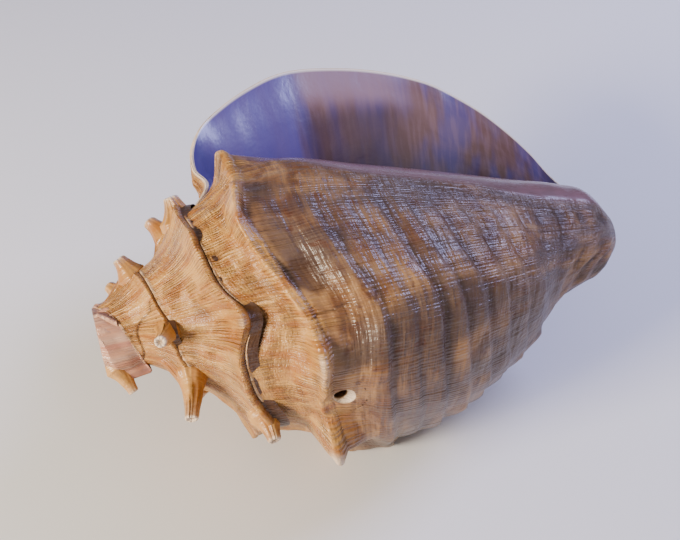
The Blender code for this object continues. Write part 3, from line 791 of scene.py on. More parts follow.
@dataclass(frozen=True)
class Skin:
    """Low relief, worn and glazed places, and painted shade and dark marks of the outside."""

    form: ShellForm
    full_radius: float = 0.055
    apex: Knot = (-765.0, -705.0)
    keel_station: float = 0.368
    keel_height: float = 0.0009
    keel_wander: Wave = Wave(0.012, 9.0, 1.0, 61)
    keel_lumps: Wave = Wave(0.0013, 5.0, 20.0, 63)
    threads: Wave = Wave(0.0017, 26.0, 4.2, 5)
    folds: Wave = Wave(0.00042, 4.2, 30.0, 7)
    ribs: Wave = Wave(1.0, 1.7, 26.0, 11)
    ramp_rib: float = 0.00040
    wall_rib: float = 0.00018
    swell: Wave = Wave(0.00055, 14.0, 10.0, 13)
    lines: Wave = Wave(0.00020, 20.0, 2.4, 17)
    apex_lumps: Wave = Wave(0.0014, 4.0, 5.0, 65)
    furrow: float = 0.00045
    furrow_spacing: float = 6.4
    furrow_sway: Wave = Wave(1.6, 22.0, 14.0, 19)
    furrow_swing: Wave = Wave(0.7, 12.0, 9.0, 67)
    dents: tuple[Dent, ...] = (Dent(84.0, 8.0, 0.437, 0.026, 0.0023), Dent(104.0, 7.0, 0.03, 0.05, 0.0022))
    cords: tuple[Knot, ...] = (
        (0.500, 0.0020), (0.545, 0.0008), (0.588, 0.0019), (0.634, 0.0018), (0.676, 0.0013),
        (0.718, 0.0013), (0.760, 0.0010), (0.802, 0.0010))
    glaze_edge: tuple[Knot, ...] = (
        (0.0, -14), (0.30, -8), (0.42, 4), (0.50, 22), (0.65, 34), (0.75, 38), (0.85, 42), (1.0, 44))
    scars: tuple[Crack, ...] = (
        Crack(((-652, 0.330), (-644, 0.297), (-638, 0.177), (-632, 0.123), (-621, 0.078), (-601, 0.068),
               (-589, 0.055), (-568, 0.015)), 0.45, 0.0005),
        Crack(((100, 0.380), (98, 0.440), (96, 0.473)), 0.40, 0.0006))
    bead: float = 0.00042
    bead_groove: float = 0.0003
    far: float = 1000.0

    def glaze(self, angle: Array, station: Array) -> Array:
        """Give the share of smooth callus, which spreads from the mouth over the last whorl.

        Args:
            angle: Growth angles.
            station: Stations.

        Returns:
            Shares of callus.
        """
        flow_u, flow_v = self.form.flow(angle, station)
        edge = curve_through(self.glaze_edge, station) + 2.5 * ripple(flow_v / 9.0, flow_u / 40.0, 41)
        covered = station > self.form.next_suture_station(angle) - 0.004
        covered = covered | (angle > self.form.parietal_angle)
        spread = fall(-4.0, 5.0, angle - edge) * smooth_step(-330.0, -300.0, angle)
        spread = spread * smooth_step(0.04, 0.10, station) * covered
        return np.where(angle < -40.0, spread * (station > 0.47), spread)

    def past_cords(self, station: Array, u: Array) -> list[tuple[Array, float, float]]:
        """Give how far each station lies past each cord, with the cord's place and height."""
        wobble = 0.004 * ripple(u / 38.0, station * 9.0, 3)
        return [(station - place - wobble, place, height) for place, height in self.cords]

    def cord_height(self, angle: Array, station: Array, u: Array) -> Array:
        """Give the height of the stepped spiral cords on the last whorl.

        Args:
            angle: Growth angles.
            station: Stations.
            u: Flow distances along the growth.

        Returns:
            Heights in metres.
        """
        over = np.zeros_like(station)
        for past, place, height in self.past_cords(station, u):
            ragged = 1.0 + 0.45 * ripple(u / 7.0, station * 0.0 + place * 50.0, 4)
            over = over + ragged * height * smooth_step(-0.046, -0.002, past) * fall(0.0, 0.007, past)
        return over * smooth_step(44.0, 72.0, angle)

    def cord_shade(self, angle: Array, station: Array, u: Array) -> Array:
        """Give the painted shadow that lies in the step beyond each cord.

        Args:
            angle: Growth angles.
            station: Stations.
            u: Flow distances along the growth.

        Returns:
            Shares of painted shadow.
        """
        shade = np.zeros_like(station)
        for past, _, _ in self.past_cords(station, u):
            shade = np.maximum(shade, smooth_step(0.0, 0.004, past) * fall(0.006, 0.026, past))
        patchy = smooth_step(-0.6, 0.5, ripple(u / 9.0, station * 30.0, 6))
        return shade * smooth_step(50.0, 75.0, angle) * patchy

    def heights(self, angle: Array, station: Array) -> Array:
        """Give the relief's height over the plain outside, in metres.

        Args:
            angle: Growth angles.
            station: Stations.

        Returns:
            Heights along the normal.
        """
        u, v = self.form.flow(angle, station)
        size = np.clip(self.form.shoulder(angle)[1] / self.full_radius, 0.2, 1.1)
        over = self.cord_height(angle, station, u)

        keel = bell(self.keel_station + self.keel_wander.at(u, 0.0 * v), 0.017, station)
        keel = keel * smooth_step(14.0, 34.0, angle) * fall(200.0, 230.0, angle)
        over = over + (self.keel_height + self.keel_lumps.at(u, v)) * keel
        threads = bell(0.435, 0.040, station) * smooth_step(32.0, 52.0, angle) * fall(104.0, 124.0, angle)
        over = over + threads * (0.35 * self.threads.height - np.abs(self.threads.at(u, v)))
        over = over + size * bell(0.35, 0.085, station) * self.folds.at(u, v, size)
        rib = np.where(station < self.form.shoulder_station, self.ramp_rib, self.wall_rib)
        over = over + rib * size * self.ribs.at(u, v, size) + size * self.swell.at(u, v)
        over = over + self.lines.at(u, v) * smooth_step(0.42, 0.50, station)
        over = over + self.apex_lumps.at(u, v) * fall(*self.apex, angle)

        front = smooth_step(0.80, 0.87, station) * smooth_step(40.0, 62.0, angle)
        furrows = np.sin(v * math.tau / self.furrow_spacing + self.furrow_sway.at(u, v))
        over = over + self.furrow * front * furrows * (1 + self.furrow_swing.at(u, v))
        for dent in self.dents:
            over = over - dent.at(angle, station)
        for scar in self.scars:
            over = over - scar.depth * bell(0.0, scar.width, self.scar_reach(scar, angle, u, v))
        return over * (1 - 0.92 * self.glaze(angle, station))

    def scar_reach(self, scar: Crack, angle: Array, u: Array, v: Array) -> Array:
        """Give the distance to a scar in millimetres, which is large on other whorls.

        Args:
            scar: The scar.
            angle: Growth angles.
            u: Flow distances along the growth.
            v: Flow distances along the generating curve.

        Returns:
            Distances in millimetres.
        """
        line = np.array(scar.line, float)
        line_u, line_v = self.form.flow(line[:, 0], line[:, 1])
        reach = distance_to_line(u, v, np.stack([line_u, line_v], -1))
        return np.where(np.abs(angle - line[:, 0].mean()) < 90.0, reach, self.far)

    def lifted(self, angle: Array, station: Array) -> Sheet:
        """Build a sheet of the outside with its relief, in the shell frame.

        Args:
            angle: Growth angles of the grid.
            station: Stations of the grid.

        Returns:
            The sheet, with points still in the shell frame.
        """
        form = self.form
        angle, station = np.broadcast_arrays(angle, station)
        flow = form.flow_of(angle, station)
        u, v = flow[..., 0], flow[..., 1]
        points = form.outside(angle, station)
        normal = Sheet(points, flow, {}).normals()

        over = self.heights(angle, station)
        next_station = np.where(angle < form.parietal_angle, form.next_suture_station(angle), 2.0)
        shown = np.abs(next_station - station)
        over = over * smooth_step(0.0, 0.03, station) * smooth_step(0.0, 0.03, shown)
        over = over * fall(0.965, 1.0, station) * fall(336.0, 349.0, angle)
        ragged = 1.0 + 0.5 * ripple(u / 2.2, v / 40.0, 23)
        rise = smooth_step(0.0, 0.005, station) * fall(0.007, 0.022, station)
        size = np.clip(form.shoulder(angle)[1] / self.full_radius, 0.3, 1.0)
        bead = size * (self.bead * ragged * rise - self.bead_groove * fall(0.0, 0.004, station))
        points = points + (over + bead)[..., None] * normal

        wear = 0.60 * rise * smooth_step(0.5, 1.3, ragged)
        for knob in form.knobs:
            if np.abs(angle - knob.angle).min() < knob.half_width:
                wear = np.maximum(wear, knob.worn(angle, station))
        masks = {"wear": np.maximum(wear, smooth_step(348.4, 349.8, angle)),
                 "glaze": self.glaze(angle, station),
                 "shade_and_dark_marks": self.shade_and_dark_marks(angle, station, over, shown * (station < next_station)),
                 "blush_and_painted_light": fall(*self.apex, angle)}
        return Sheet(points, flow, masks)

    def shade_and_dark_marks(self, angle: Array, station: Array, over: Array, shown: Array) -> Array:
        """Give painted shade in hollows, cord steps and crevices; dark marks on scars and the callus's
        edge.

        Args:
            angle: Growth angles.
            station: Stations.
            over: Heights of the relief.
            shown: Station distances to the next suture, 0 where the next whorl covers the shell.

        Returns:
            Shares of painted shade and dark marks.
        """
        u, v = self.form.flow(angle, station)
        # Painted shade in the relief's hollows and painted shadow in the step beyond each cord.
        shade_and_dark_marks = np.maximum(smooth_step(0.00015, 0.0009, -over), 0.62 * self.cord_shade(angle, station, u))
        shade_and_dark_marks = shade_and_dark_marks * (1 - self.glaze(angle, station))
        for scar in self.scars:
            shade_and_dark_marks = np.maximum(shade_and_dark_marks, bell(0.0, scar.width, self.scar_reach(scar, angle, u, v)))
        # Painted shade in the crevice along the suture.
        crevice = bell(0.0, 0.008, shown) * (angle < -24.0) * (station < 0.47)
        edge = bell(curve_through(self.glaze_edge, station) + 10.0, 7.0, angle)
        return np.maximum(np.maximum(shade_and_dark_marks, crevice), 0.75 * edge * smooth_step(0.60, 0.72, station))

    def laid(self, sheet: Sheet) -> Sheet:
        """Move a sheet from the shell frame to the world, worn flat where the shell rests.

        Args:
            sheet: The sheet, with points in the shell frame.

        Returns:
            The same sheet.
        """
        sheet.points = self.form.to_world(sheet.points)
        sheet.points[..., 2] = np.maximum(sheet.points[..., 2], 0.0)
        return sheet


@dataclass(frozen=True)
class FingerSpine:
    """A finger of the shoulder with a worn, hollow tip."""

    knob: Knob
    sunk: float = 0.0035
    rings: int = 34
    spokes: int = 60
    tip_rings: int = 10
    edge: float = 0.0007
    hollow: float = 0.0009
    foot: float = 0.0012
    foot_reach: float = 0.0026
    flatness: float = 0.14
    bend: float = 0.10
    stripes: float = 330.0
    flow_station: float = 35.0

    def sheet(self, skin: Skin) -> Sheet:
        """Build the finger from its sunk root to the bottom of its worn tip.

        Args:
            skin: Relief of the outside.

        Returns:
            The sheet in the shell frame.
        """
        knob, form = self.knob, skin.form
        length, way, side, other = self.axes()
        root = form.outside(np.array([knob.angle]), np.array([knob.station]), Relief.PLAIN)[0]
        turn = np.linspace(0.0, math.tau, self.spokes + 1)[None, :]
        radius, along = self.outline(length)
        share = np.clip(along / length, 0.0, 1.0)

        flow_u, flow_v = form.flow(np.array([knob.angle]), np.array([knob.station]))
        u = flow_u + self.stripes * knob.root_radius * turn + 0.0 * along
        v = flow_v + MM * along + 0.0 * turn
        seed = int(abs(knob.angle))
        folds = ripple(turn * 3.4, v / 9.0, seed) + ripple(turn * -3.4 + 22.0, v / 9.0, seed + 1)
        radius = radius * (1 + 0.05 * folds + 0.03 * ripple(u / 3.0, v / 2.5, seed + 2))
        flat = 1 - self.flatness * np.sin(turn) ** 2
        bend = self.bend * length * (share - share ** 2)
        points = (root + along[..., None] * way + (radius * np.cos(turn) * flat)[..., None] * side
                  + (radius * np.sin(turn))[..., None] * other - bend[..., None] * other)

        ring = np.arange(len(along))[:, None] + 0.8 * ripple(turn * 1.3, 0.0 * turn, seed + 3)
        rim = smooth_step(self.rings - 3, self.rings + 2, ring)
        bowl = smooth_step(self.rings + 7, self.rings + 11, ring)
        wear = knob.wear * rim * (1 - 0.75 * bowl) + 0.25 * smooth_step(0.55, 1.0, along / length)
        masks = {"wear": np.clip(wear + 0.0 * turn, 0.0, 1.0),
                 "shade_and_dark_marks": 0.30 * bowl * knob.wear + 0.0 * turn}
        flow = np.stack([u, v, np.full_like(u, self.flow_station)], -1)
        return Sheet(points, flow, masks, flipped=self.turned(points))

    def axes(self) -> tuple[float, Array, Array, Array]:
        """Give the finger's length, its way out and the two ways across it.

        Returns:
            The length, the way out and both ways across.
        """
        way = self.knob.way()
        side = unit(np.cross(unit(way), X_AXIS))
        return float(np.linalg.norm(way)), unit(way), side, np.cross(unit(way), side)

    def outline(self, length: float) -> tuple[Array, Array]:
        """Give the finger's outline from its sunk root over its rounded edge into the worn dip.

        Args:
            length: Length of the finger.

        Returns:
            Radii, and distances along the finger.
        """
        knob = self.knob
        along = np.linspace(-self.sunk, length - self.edge, self.rings)[:, None]
        share = np.clip(along / length, 0.0, 1.0)
        shaft = knob.tip_radius + (knob.root_radius - knob.tip_radius) * (1 - share) ** 1.5
        shaft = shaft + self.foot * np.exp(-np.maximum(along, 0.0) / self.foot_reach)
        arc = np.linspace(0.0, math.pi / 2, 6)[1:, None]
        edge_radius = knob.tip_radius - self.edge * (1 - np.cos(arc))
        edge_along = length - self.edge * (1 - np.sin(arc))
        dip = np.linspace(0.0, 1.0, self.tip_rings)[1:, None]
        dip_radius = edge_radius[-1] * (1 - dip) + 0.00002
        dip_along = length - self.hollow * smooth_step(0.05, 0.75, dip) * knob.wear
        return (np.concatenate([shaft, edge_radius, dip_radius]),
                np.concatenate([along, edge_along, dip_along]))

    def turned(self, points: Array) -> bool:
        """Say whether the grid's own way out points into the finger.

        Args:
            points: Points of the shell frame.

        Returns:
            True if the grid has to be turned round.
        """
        middle = points[len(points) // 2]
        normal = Sheet(points, points, {}).normals()[len(points) // 2]
        return bool(((middle - middle.mean(axis=0)) * normal).sum() < 0)


@dataclass
class ShellPiece:
    """One dressed piece of the shell, made from sheets."""

    skin: Skin
    name: str = "shell_piece"

    def sheets(self) -> list[Sheet]:
        """Give the piece's sheets in the world."""
        raise NotImplementedError

    def build(self, finish: bpy.types.Material) -> bpy.types.Object:
        """Build the piece, dress it and let it ride on the shell's body.

        Args:
            finish: Material of the piece.

        Returns:
            The piece.
        """
        mesh = mesh_from_sheets(self.name, self.sheets())
        mesh.materials.append(finish)
        piece = bpy.data.objects.new(self.name, mesh)
        bpy.context.scene.collection.objects.link(piece)
        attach(piece, "root")
        LOG.info("%s: %d faces", self.name, len(mesh.polygons))
        return piece


@dataclass
class Spire(ShellPiece):
    """The knobbed spire with its sawn end and blow hole."""

    name: str = "shell_spire"
    turns: tuple[tuple[float, float, float], ...] = ((-1090, -402, 1.5), (-402, -8, 1.0))
    rows: int = 92
    tuck: float = 0.025
    hole_radius: float = 0.0080
    throat_radius: float = 0.0050
    hole_depth: float = 0.0160
    end_depth: float = 0.0280
    hole_edge: float = 0.0003
    skirt_depth: float = 0.0080
    skirt_lumps: float = 0.0020
    flow_station: float = 20.0
    spokes: int = 240

    def sheets(self) -> list[Sheet]:
        """Give the whorls' outside and the sawn end.

        Returns:
            The sheets in the world.
        """
        form, found, rims = self.skin.form, [], []
        for start, end, step in self.turns:
            angle = np.arange(start, end + step / 2, step)[:, None]
            share = np.linspace(0.0, 1.0, self.rows)[None, :]
            sheet = self.skin.lifted(angle, share * (form.next_suture_station(angle) + self.tuck))
            whole = sheet.points.copy()
            rims.append(self.crossing(whole, sheet.saw(form.saw_x)))
            found.append(self.skin.laid(sheet))
        return found + [self.sawn_end(np.concatenate(rims))]

    def crossing(self, points: Array, gone: Array) -> Array:
        """Give the points where the whorls cross the saw's plane.

        Args:
            points: Points of a sheet.
            gone: True where a point is sawn off.

        Returns:
            Crossing points, one for each line that crosses.
        """
        line, row = np.nonzero(gone[:, :-1] & ~gone[:, 1:])
        before, after = points[line, row], points[line, row + 1]
        share = (self.skin.form.saw_x - before[:, :1]) / (after[:, :1] - before[:, :1])
        return before + share * (after - before)

    def outline(self, rim: Array, centre: float) -> Array:
        """Give the sawn face's radius at each spoke.

        Args:
            rim: Points where the whorls cross the saw's plane.
            centre: Height of the axis.

        Returns:
            A column of radii, the first repeated at the end.
        """
        turn = np.arctan2(-rim[:, 1], rim[:, 2] - centre) % math.tau
        spoke = np.round(turn / math.tau * self.spokes).astype(int) % self.spokes
        outer = np.zeros(self.spokes)
        np.maximum.at(outer, spoke, np.hypot(rim[:, 1], rim[:, 2] - centre))
        seen = np.nonzero(outer)[0]
        outer = np.interp(np.arange(self.spokes), seen, outer[seen], period=self.spokes)
        return np.append(outer, outer[0])[:, None]

    def sawn_end(self, rim: Array) -> Sheet:
        """Build the lumpy skirt, the flat sawn face, the tapered blow hole with painted shade inside it,
        and its end.

        Args:
            rim: Points where the whorls cross the saw's plane.

        Returns:
            The sheet in the world.
        """
        form = self.skin.form
        centre = float(form.axis_offset(0.0))
        turn = np.linspace(0.0, math.tau, self.spokes + 1)[:, None]
        outer = self.outline(rim, centre)
        wide = np.ones_like(outer)

        face = np.linspace(0.0, 1.0, 22)[None, :]
        face_radius = outer + (self.hole_radius - outer) * face
        sunk = 0.0002 * fall(0.0, 0.08, face) + self.hole_edge * smooth_step(0.94, 1.0, face)
        face_x = form.saw_x + sunk + 0.00007 * ripple(face_radius * 1400.0, turn * 2.0, 29)
        deep = np.linspace(0.0, 1.0, 18)[1:][None, :] * wide
        hole_radius = self.hole_radius + (self.throat_radius - self.hole_radius) * deep
        hole_x = form.saw_x + self.hole_edge + (self.hole_depth - self.hole_edge) * deep
        end = np.linspace(0.0, 1.0, 8)[1:][None, :] * wide
        end_x = self.hole_depth + (self.end_depth - self.hole_depth) * end
        skirt = np.linspace(1.0, 0.0, 6)[:-1][None, :] * wide
        radius = np.concatenate([outer - 0.0002 - 0.0004 * skirt, face_radius, hole_radius,
                                 self.throat_radius * (1 - 0.98 * end ** 3)], axis=1)
        x = np.concatenate([face_x[:, :1] + self.skirt_depth * skirt, face_x, hole_x, end_x], axis=1)

        behind = np.arange(x.shape[1])[None, :] < skirt.shape[1]
        lumps = ripple(5.0 * np.cos(turn) + 300.0 * x, 5.0 * np.sin(turn) + 0.0 * x, 69)
        radius = radius + self.skirt_lumps * behind * lumps
        points = np.stack([x, -radius * np.sin(turn), centre + radius * np.cos(turn)], -1)
        flow = np.stack([MM * radius * turn, MM * x + MM * radius, np.full_like(x, self.flow_station)], -1)
        # Painted shade: the blow hole darkens inward from the sawn face.
        inside = smooth_step(form.saw_x + 0.0005, form.saw_x + 0.010, x) * (radius <= self.hole_radius)
        chalk = smooth_step(-0.5, 0.6, ripple(radius * 500.0, np.degrees(turn) / 40.0, 31))
        chalk = 0.55 * (1 - inside) * chalk * (1 - 0.8 * behind)
        masks = {"wear": chalk, "shade_and_dark_marks": inside, "blush_and_painted_light": np.ones_like(x)}
        return Sheet(form.to_world(points), flow, masks)


@dataclass
class Spines(ShellPiece):
    """The finger-like spines of the spire's shoulder."""

    name: str = "shell_spines"

    def sheets(self) -> list[Sheet]:
        """Give one sheet for each spine, sawn off where the saw's plane cuts it.

        Returns:
            The sheets in the world.
        """
        form = self.skin.form
        spines = [FingerSpine(knob) for knob in form.knobs if knob.form is KnobForm.FINGER]
        fingers = [spine.sheet(self.skin) for spine in spines]
        for finger in fingers:
            finger.saw(form.saw_x)
        return [self.skin.laid(finger) for finger in fingers]


@dataclass
class SideHole:
    """The drilled side hole with its ground bevel: sizes and place on the last whorl."""

    form: ShellForm
    x: float = 0.0835
    turn: float = 134.0
    station: float = 0.433
    surface: float = 0.0600
    radius: float = 0.0028
    seat: float = 0.0033
    tip_radius: float = 0.0017
    slope: float = 0.8
    patch: float = 0.0092
    cleared: float = 0.0085
    depth: float = 0.0046

    def split(self, points: Array) -> tuple[Array, Array, Array]:
        """Split points of the shell frame by the drill's axis.

        Args:
            points: Points of the shell frame.

        Returns:
            Offsets along the shell, offsets round it, and heights.
        """
        turn = math.radians(self.turn)
        y, z = points[..., 1], points[..., 2] - float(self.form.axis_offset(self.x))
        height = -y * math.sin(turn) + z * math.cos(turn) - self.surface
        return points[..., 0] - self.x, -y * math.cos(turn) - z * math.sin(turn), height

    def reach(self, points: Array) -> Array:
        """Give distances from the drill's axis, large on the far side of the shell."""
        along, across, height = self.split(points)
        return np.where(height > -0.020, np.hypot(along, across), 1.0)

    def clear(self, sheet: Sheet, reach: float) -> None:
        """Leave out the quads of a sheet that lie within reach of the drill's axis."""
        touched = np.any(sheet.corners(self.reach(sheet.points) < reach), axis=0)
        sheet.kept = ~touched if sheet.kept is None else sheet.kept & ~touched

    def place_on_skin(self, along: Array, across: Array) -> tuple[Array, Array]:
        """Find growth angles and stations for offsets across the drill's axis.

        Args:
            along: Offsets along the shell.
            across: Offsets round the shell.

        Returns:
            Growth angles and stations.
        """
        angle, station = np.full(along.shape, self.turn), np.full(along.shape, self.station)
        turn_step, station_step = 0.2, 0.001
        for _ in range(14):
            here = self.split(self.form.outside(angle, station))
            turned = self.split(self.form.outside(angle + turn_step, station))
            moved = self.split(self.form.outside(angle, station + station_step))
            a, b = (turned[0] - here[0]) / turn_step, (moved[0] - here[0]) / station_step
            c, d = (turned[1] - here[1]) / turn_step, (moved[1] - here[1]) / station_step
            miss_along, miss_across = along - here[0], across - here[1]
            spread = a * d - b * c
            angle = angle + np.clip((d * miss_along - b * miss_across) / spread, -3.0, 3.0)
            station = station + np.clip((a * miss_across - c * miss_along) / spread, -0.03, 0.03)
        return angle, station

    def patch_sheet(self, skin: Skin) -> Sheet:
        """Build the skin round the hole with its bevel and the drilled tube.

        Args:
            skin: Relief of the outside.

        Returns:
            The sheet in the world.
        """
        turn = np.linspace(0.0, math.tau, 145)[None, :]
        radius = np.linspace(self.radius, self.patch, 46)[:, None]
        along, across = radius * np.sin(turn), radius * np.cos(turn)
        angle, station = self.place_on_skin(along, across)
        sheet = skin.lifted(angle, station)
        here_along, here_across, height = self.split(sheet.points)
        across_reach = np.hypot(here_along, here_across)
        cone = -self.seat + (np.maximum(across_reach, self.radius) - self.tip_radius) / self.slope
        ground = np.maximum(height - cone, 0.0)
        sunk = 0.00005 * smooth_step(self.cleared, self.patch, radius)
        outward = math.radians(self.turn)
        axis = np.array((0.0, -math.sin(outward), math.cos(outward)))
        sheet.points = sheet.points - (ground + sunk)[..., None] * axis
        bare = smooth_step(0.0, 0.00025, ground)
        sheet.masks["wear"] = np.maximum(sheet.masks["wear"], bare)
        sheet.masks["shade_and_dark_marks"] = sheet.masks["shade_and_dark_marks"] * (1 - bare)

        down = np.linspace(self.depth, 0.0, 14)[:-1, None, None]
        tube = sheet.points[:1] - down * axis
        first = {key: np.repeat(mask[:1], len(down), axis=0) for key, mask in sheet.masks.items()}
        first["wear"] = first["wear"] * fall(0.0, 0.0009, down[..., 0])
        # Painted shade: the drilled tube darkens downward from its rim.
        first["shade_and_dark_marks"] = smooth_step(0.0002, 0.0012, down[..., 0]) * np.ones_like(turn)
        flow = np.repeat(sheet.flow[:1], len(down), axis=0)
        flow[..., 1] = flow[..., 1] - MM * down[..., 0]
        masks = {key: np.concatenate([first[key], sheet.masks[key]]) for key in sheet.masks}
        whole = Sheet(np.concatenate([tube, sheet.points]), np.concatenate([flow, sheet.flow]), masks)
        return skin.laid(whole)


@dataclass
class LastWhorl(ShellPiece):
    """The last whorl's outside up to the lip, with the side hole."""

    name: str = "shell_body"
    start: float = -16.0
    step: float = 0.75
    rows: int = 264

    def sheets(self) -> list[Sheet]:
        """Give the whorl's outside and the patch with the hole.

        Returns:
            The sheets in the world.
        """
        form = self.skin.form
        angle = np.arange(self.start, form.flare_angle + self.step / 2, self.step)[:, None]
        sheet = self.skin.lifted(angle, np.linspace(0.0, 1.0, self.rows)[None, :])
        hole = SideHole(form)
        hole.clear(sheet, hole.cleared)
        return [self.skin.laid(sheet), hole.patch_sheet(self.skin)]


@dataclass
class FlaredLip(ShellPiece):
    """The flared lip's outside, its rounded edge and the canal's end."""

    name: str = "shell_lip"
    step: float = 0.6
    rows: int = 264
    edge_steps: int = 10
    edge_reach: float = 0.8
    cap_rings: int = 14
    cap_bulge: float = 0.0012
    cap_wear: float = 0.35
    notch: Way = (-0.002, -0.0035, -0.0050)

    def sheets(self) -> list[Sheet]:
        """Give the lip's outside, its edge and the canal's end.

        Returns:
            The sheets in the world.
        """
        form = self.skin.form
        lines = int(round((form.lip_angle - form.flare_angle) / self.step)) + 1
        angle = np.linspace(form.flare_angle, form.lip_angle, lines)[:, None]
        sheet = self.skin.lifted(angle, np.linspace(0.0, 1.0, self.rows)[None, :])
        return [self.skin.laid(sheet), self.edge(), self.canal_end()]

    def edge(self) -> Sheet:
        """Build the lip's rounded edge, from its outside round to its inside.

        Returns:
            The sheet in the world.
        """
        form = self.skin.form
        station = np.linspace(0.0, 1.0, self.rows)
        angle = np.full_like(station, form.lip_angle)
        last = np.array([[form.lip_angle - self.step], [form.lip_angle]])
        rim = self.skin.lifted(last, station[None, :]).points[1]
        normal = form.normal(angle, station)
        ahead = rim - form.outside(angle - 0.5, station)
        ahead = unit(ahead - (ahead * normal).sum(-1, keepdims=True) * normal)
        half = 0.5 * float(form.wall(form.lip_angle))
        turn = np.linspace(0.0, math.pi, self.edge_steps + 1)[:, None, None]
        round_way = np.cos(turn) * normal + self.edge_reach * np.sin(turn) * ahead
        points = rim - half * normal + half * round_way
        flow = form.flow_of(angle, station)[None] + MM * half * turn * X_AXIS
        return Sheet(form.to_world(points), flow, {"wear": np.ones(points.shape[:2])})

    def canal_end(self) -> Sheet:
        """Build the canal's blunt end with its notch.

        Returns:
            The sheet in the world.
        """
        form = self.skin.form
        angle = np.arange(form.parietal_angle, form.lip_angle + 0.1, 3.0)
        ring = form.outside(angle, np.ones_like(angle))
        start, end = ring[0], ring[-1]
        middle = 0.5 * (start + end)
        floor = middle + np.array(self.notch)
        t = np.linspace(0.0, 1.0, 13)[1:-1, None]
        notch = (1 - t) ** 2 * end + 2 * t * (1 - t) * (2 * floor - middle) + t ** 2 * start
        ring = np.concatenate([ring, notch, ring[:1]])
        centre = ring.mean(axis=0) + 0.002 * X_AXIS
        share = np.linspace(0.0, 1.0, self.cap_rings)[None, :, None]
        bulge = self.cap_bulge * np.sin(math.pi * share) * X_AXIS
        points = ring[:, None] + (centre - ring[:, None]) * share + bulge
        flow = MM * points
        flow[..., 2] = 0.98 * STATION_SCALE
        return Sheet(form.to_world(points), flow, {"wear": np.full(points.shape[:2], self.cap_wear)})


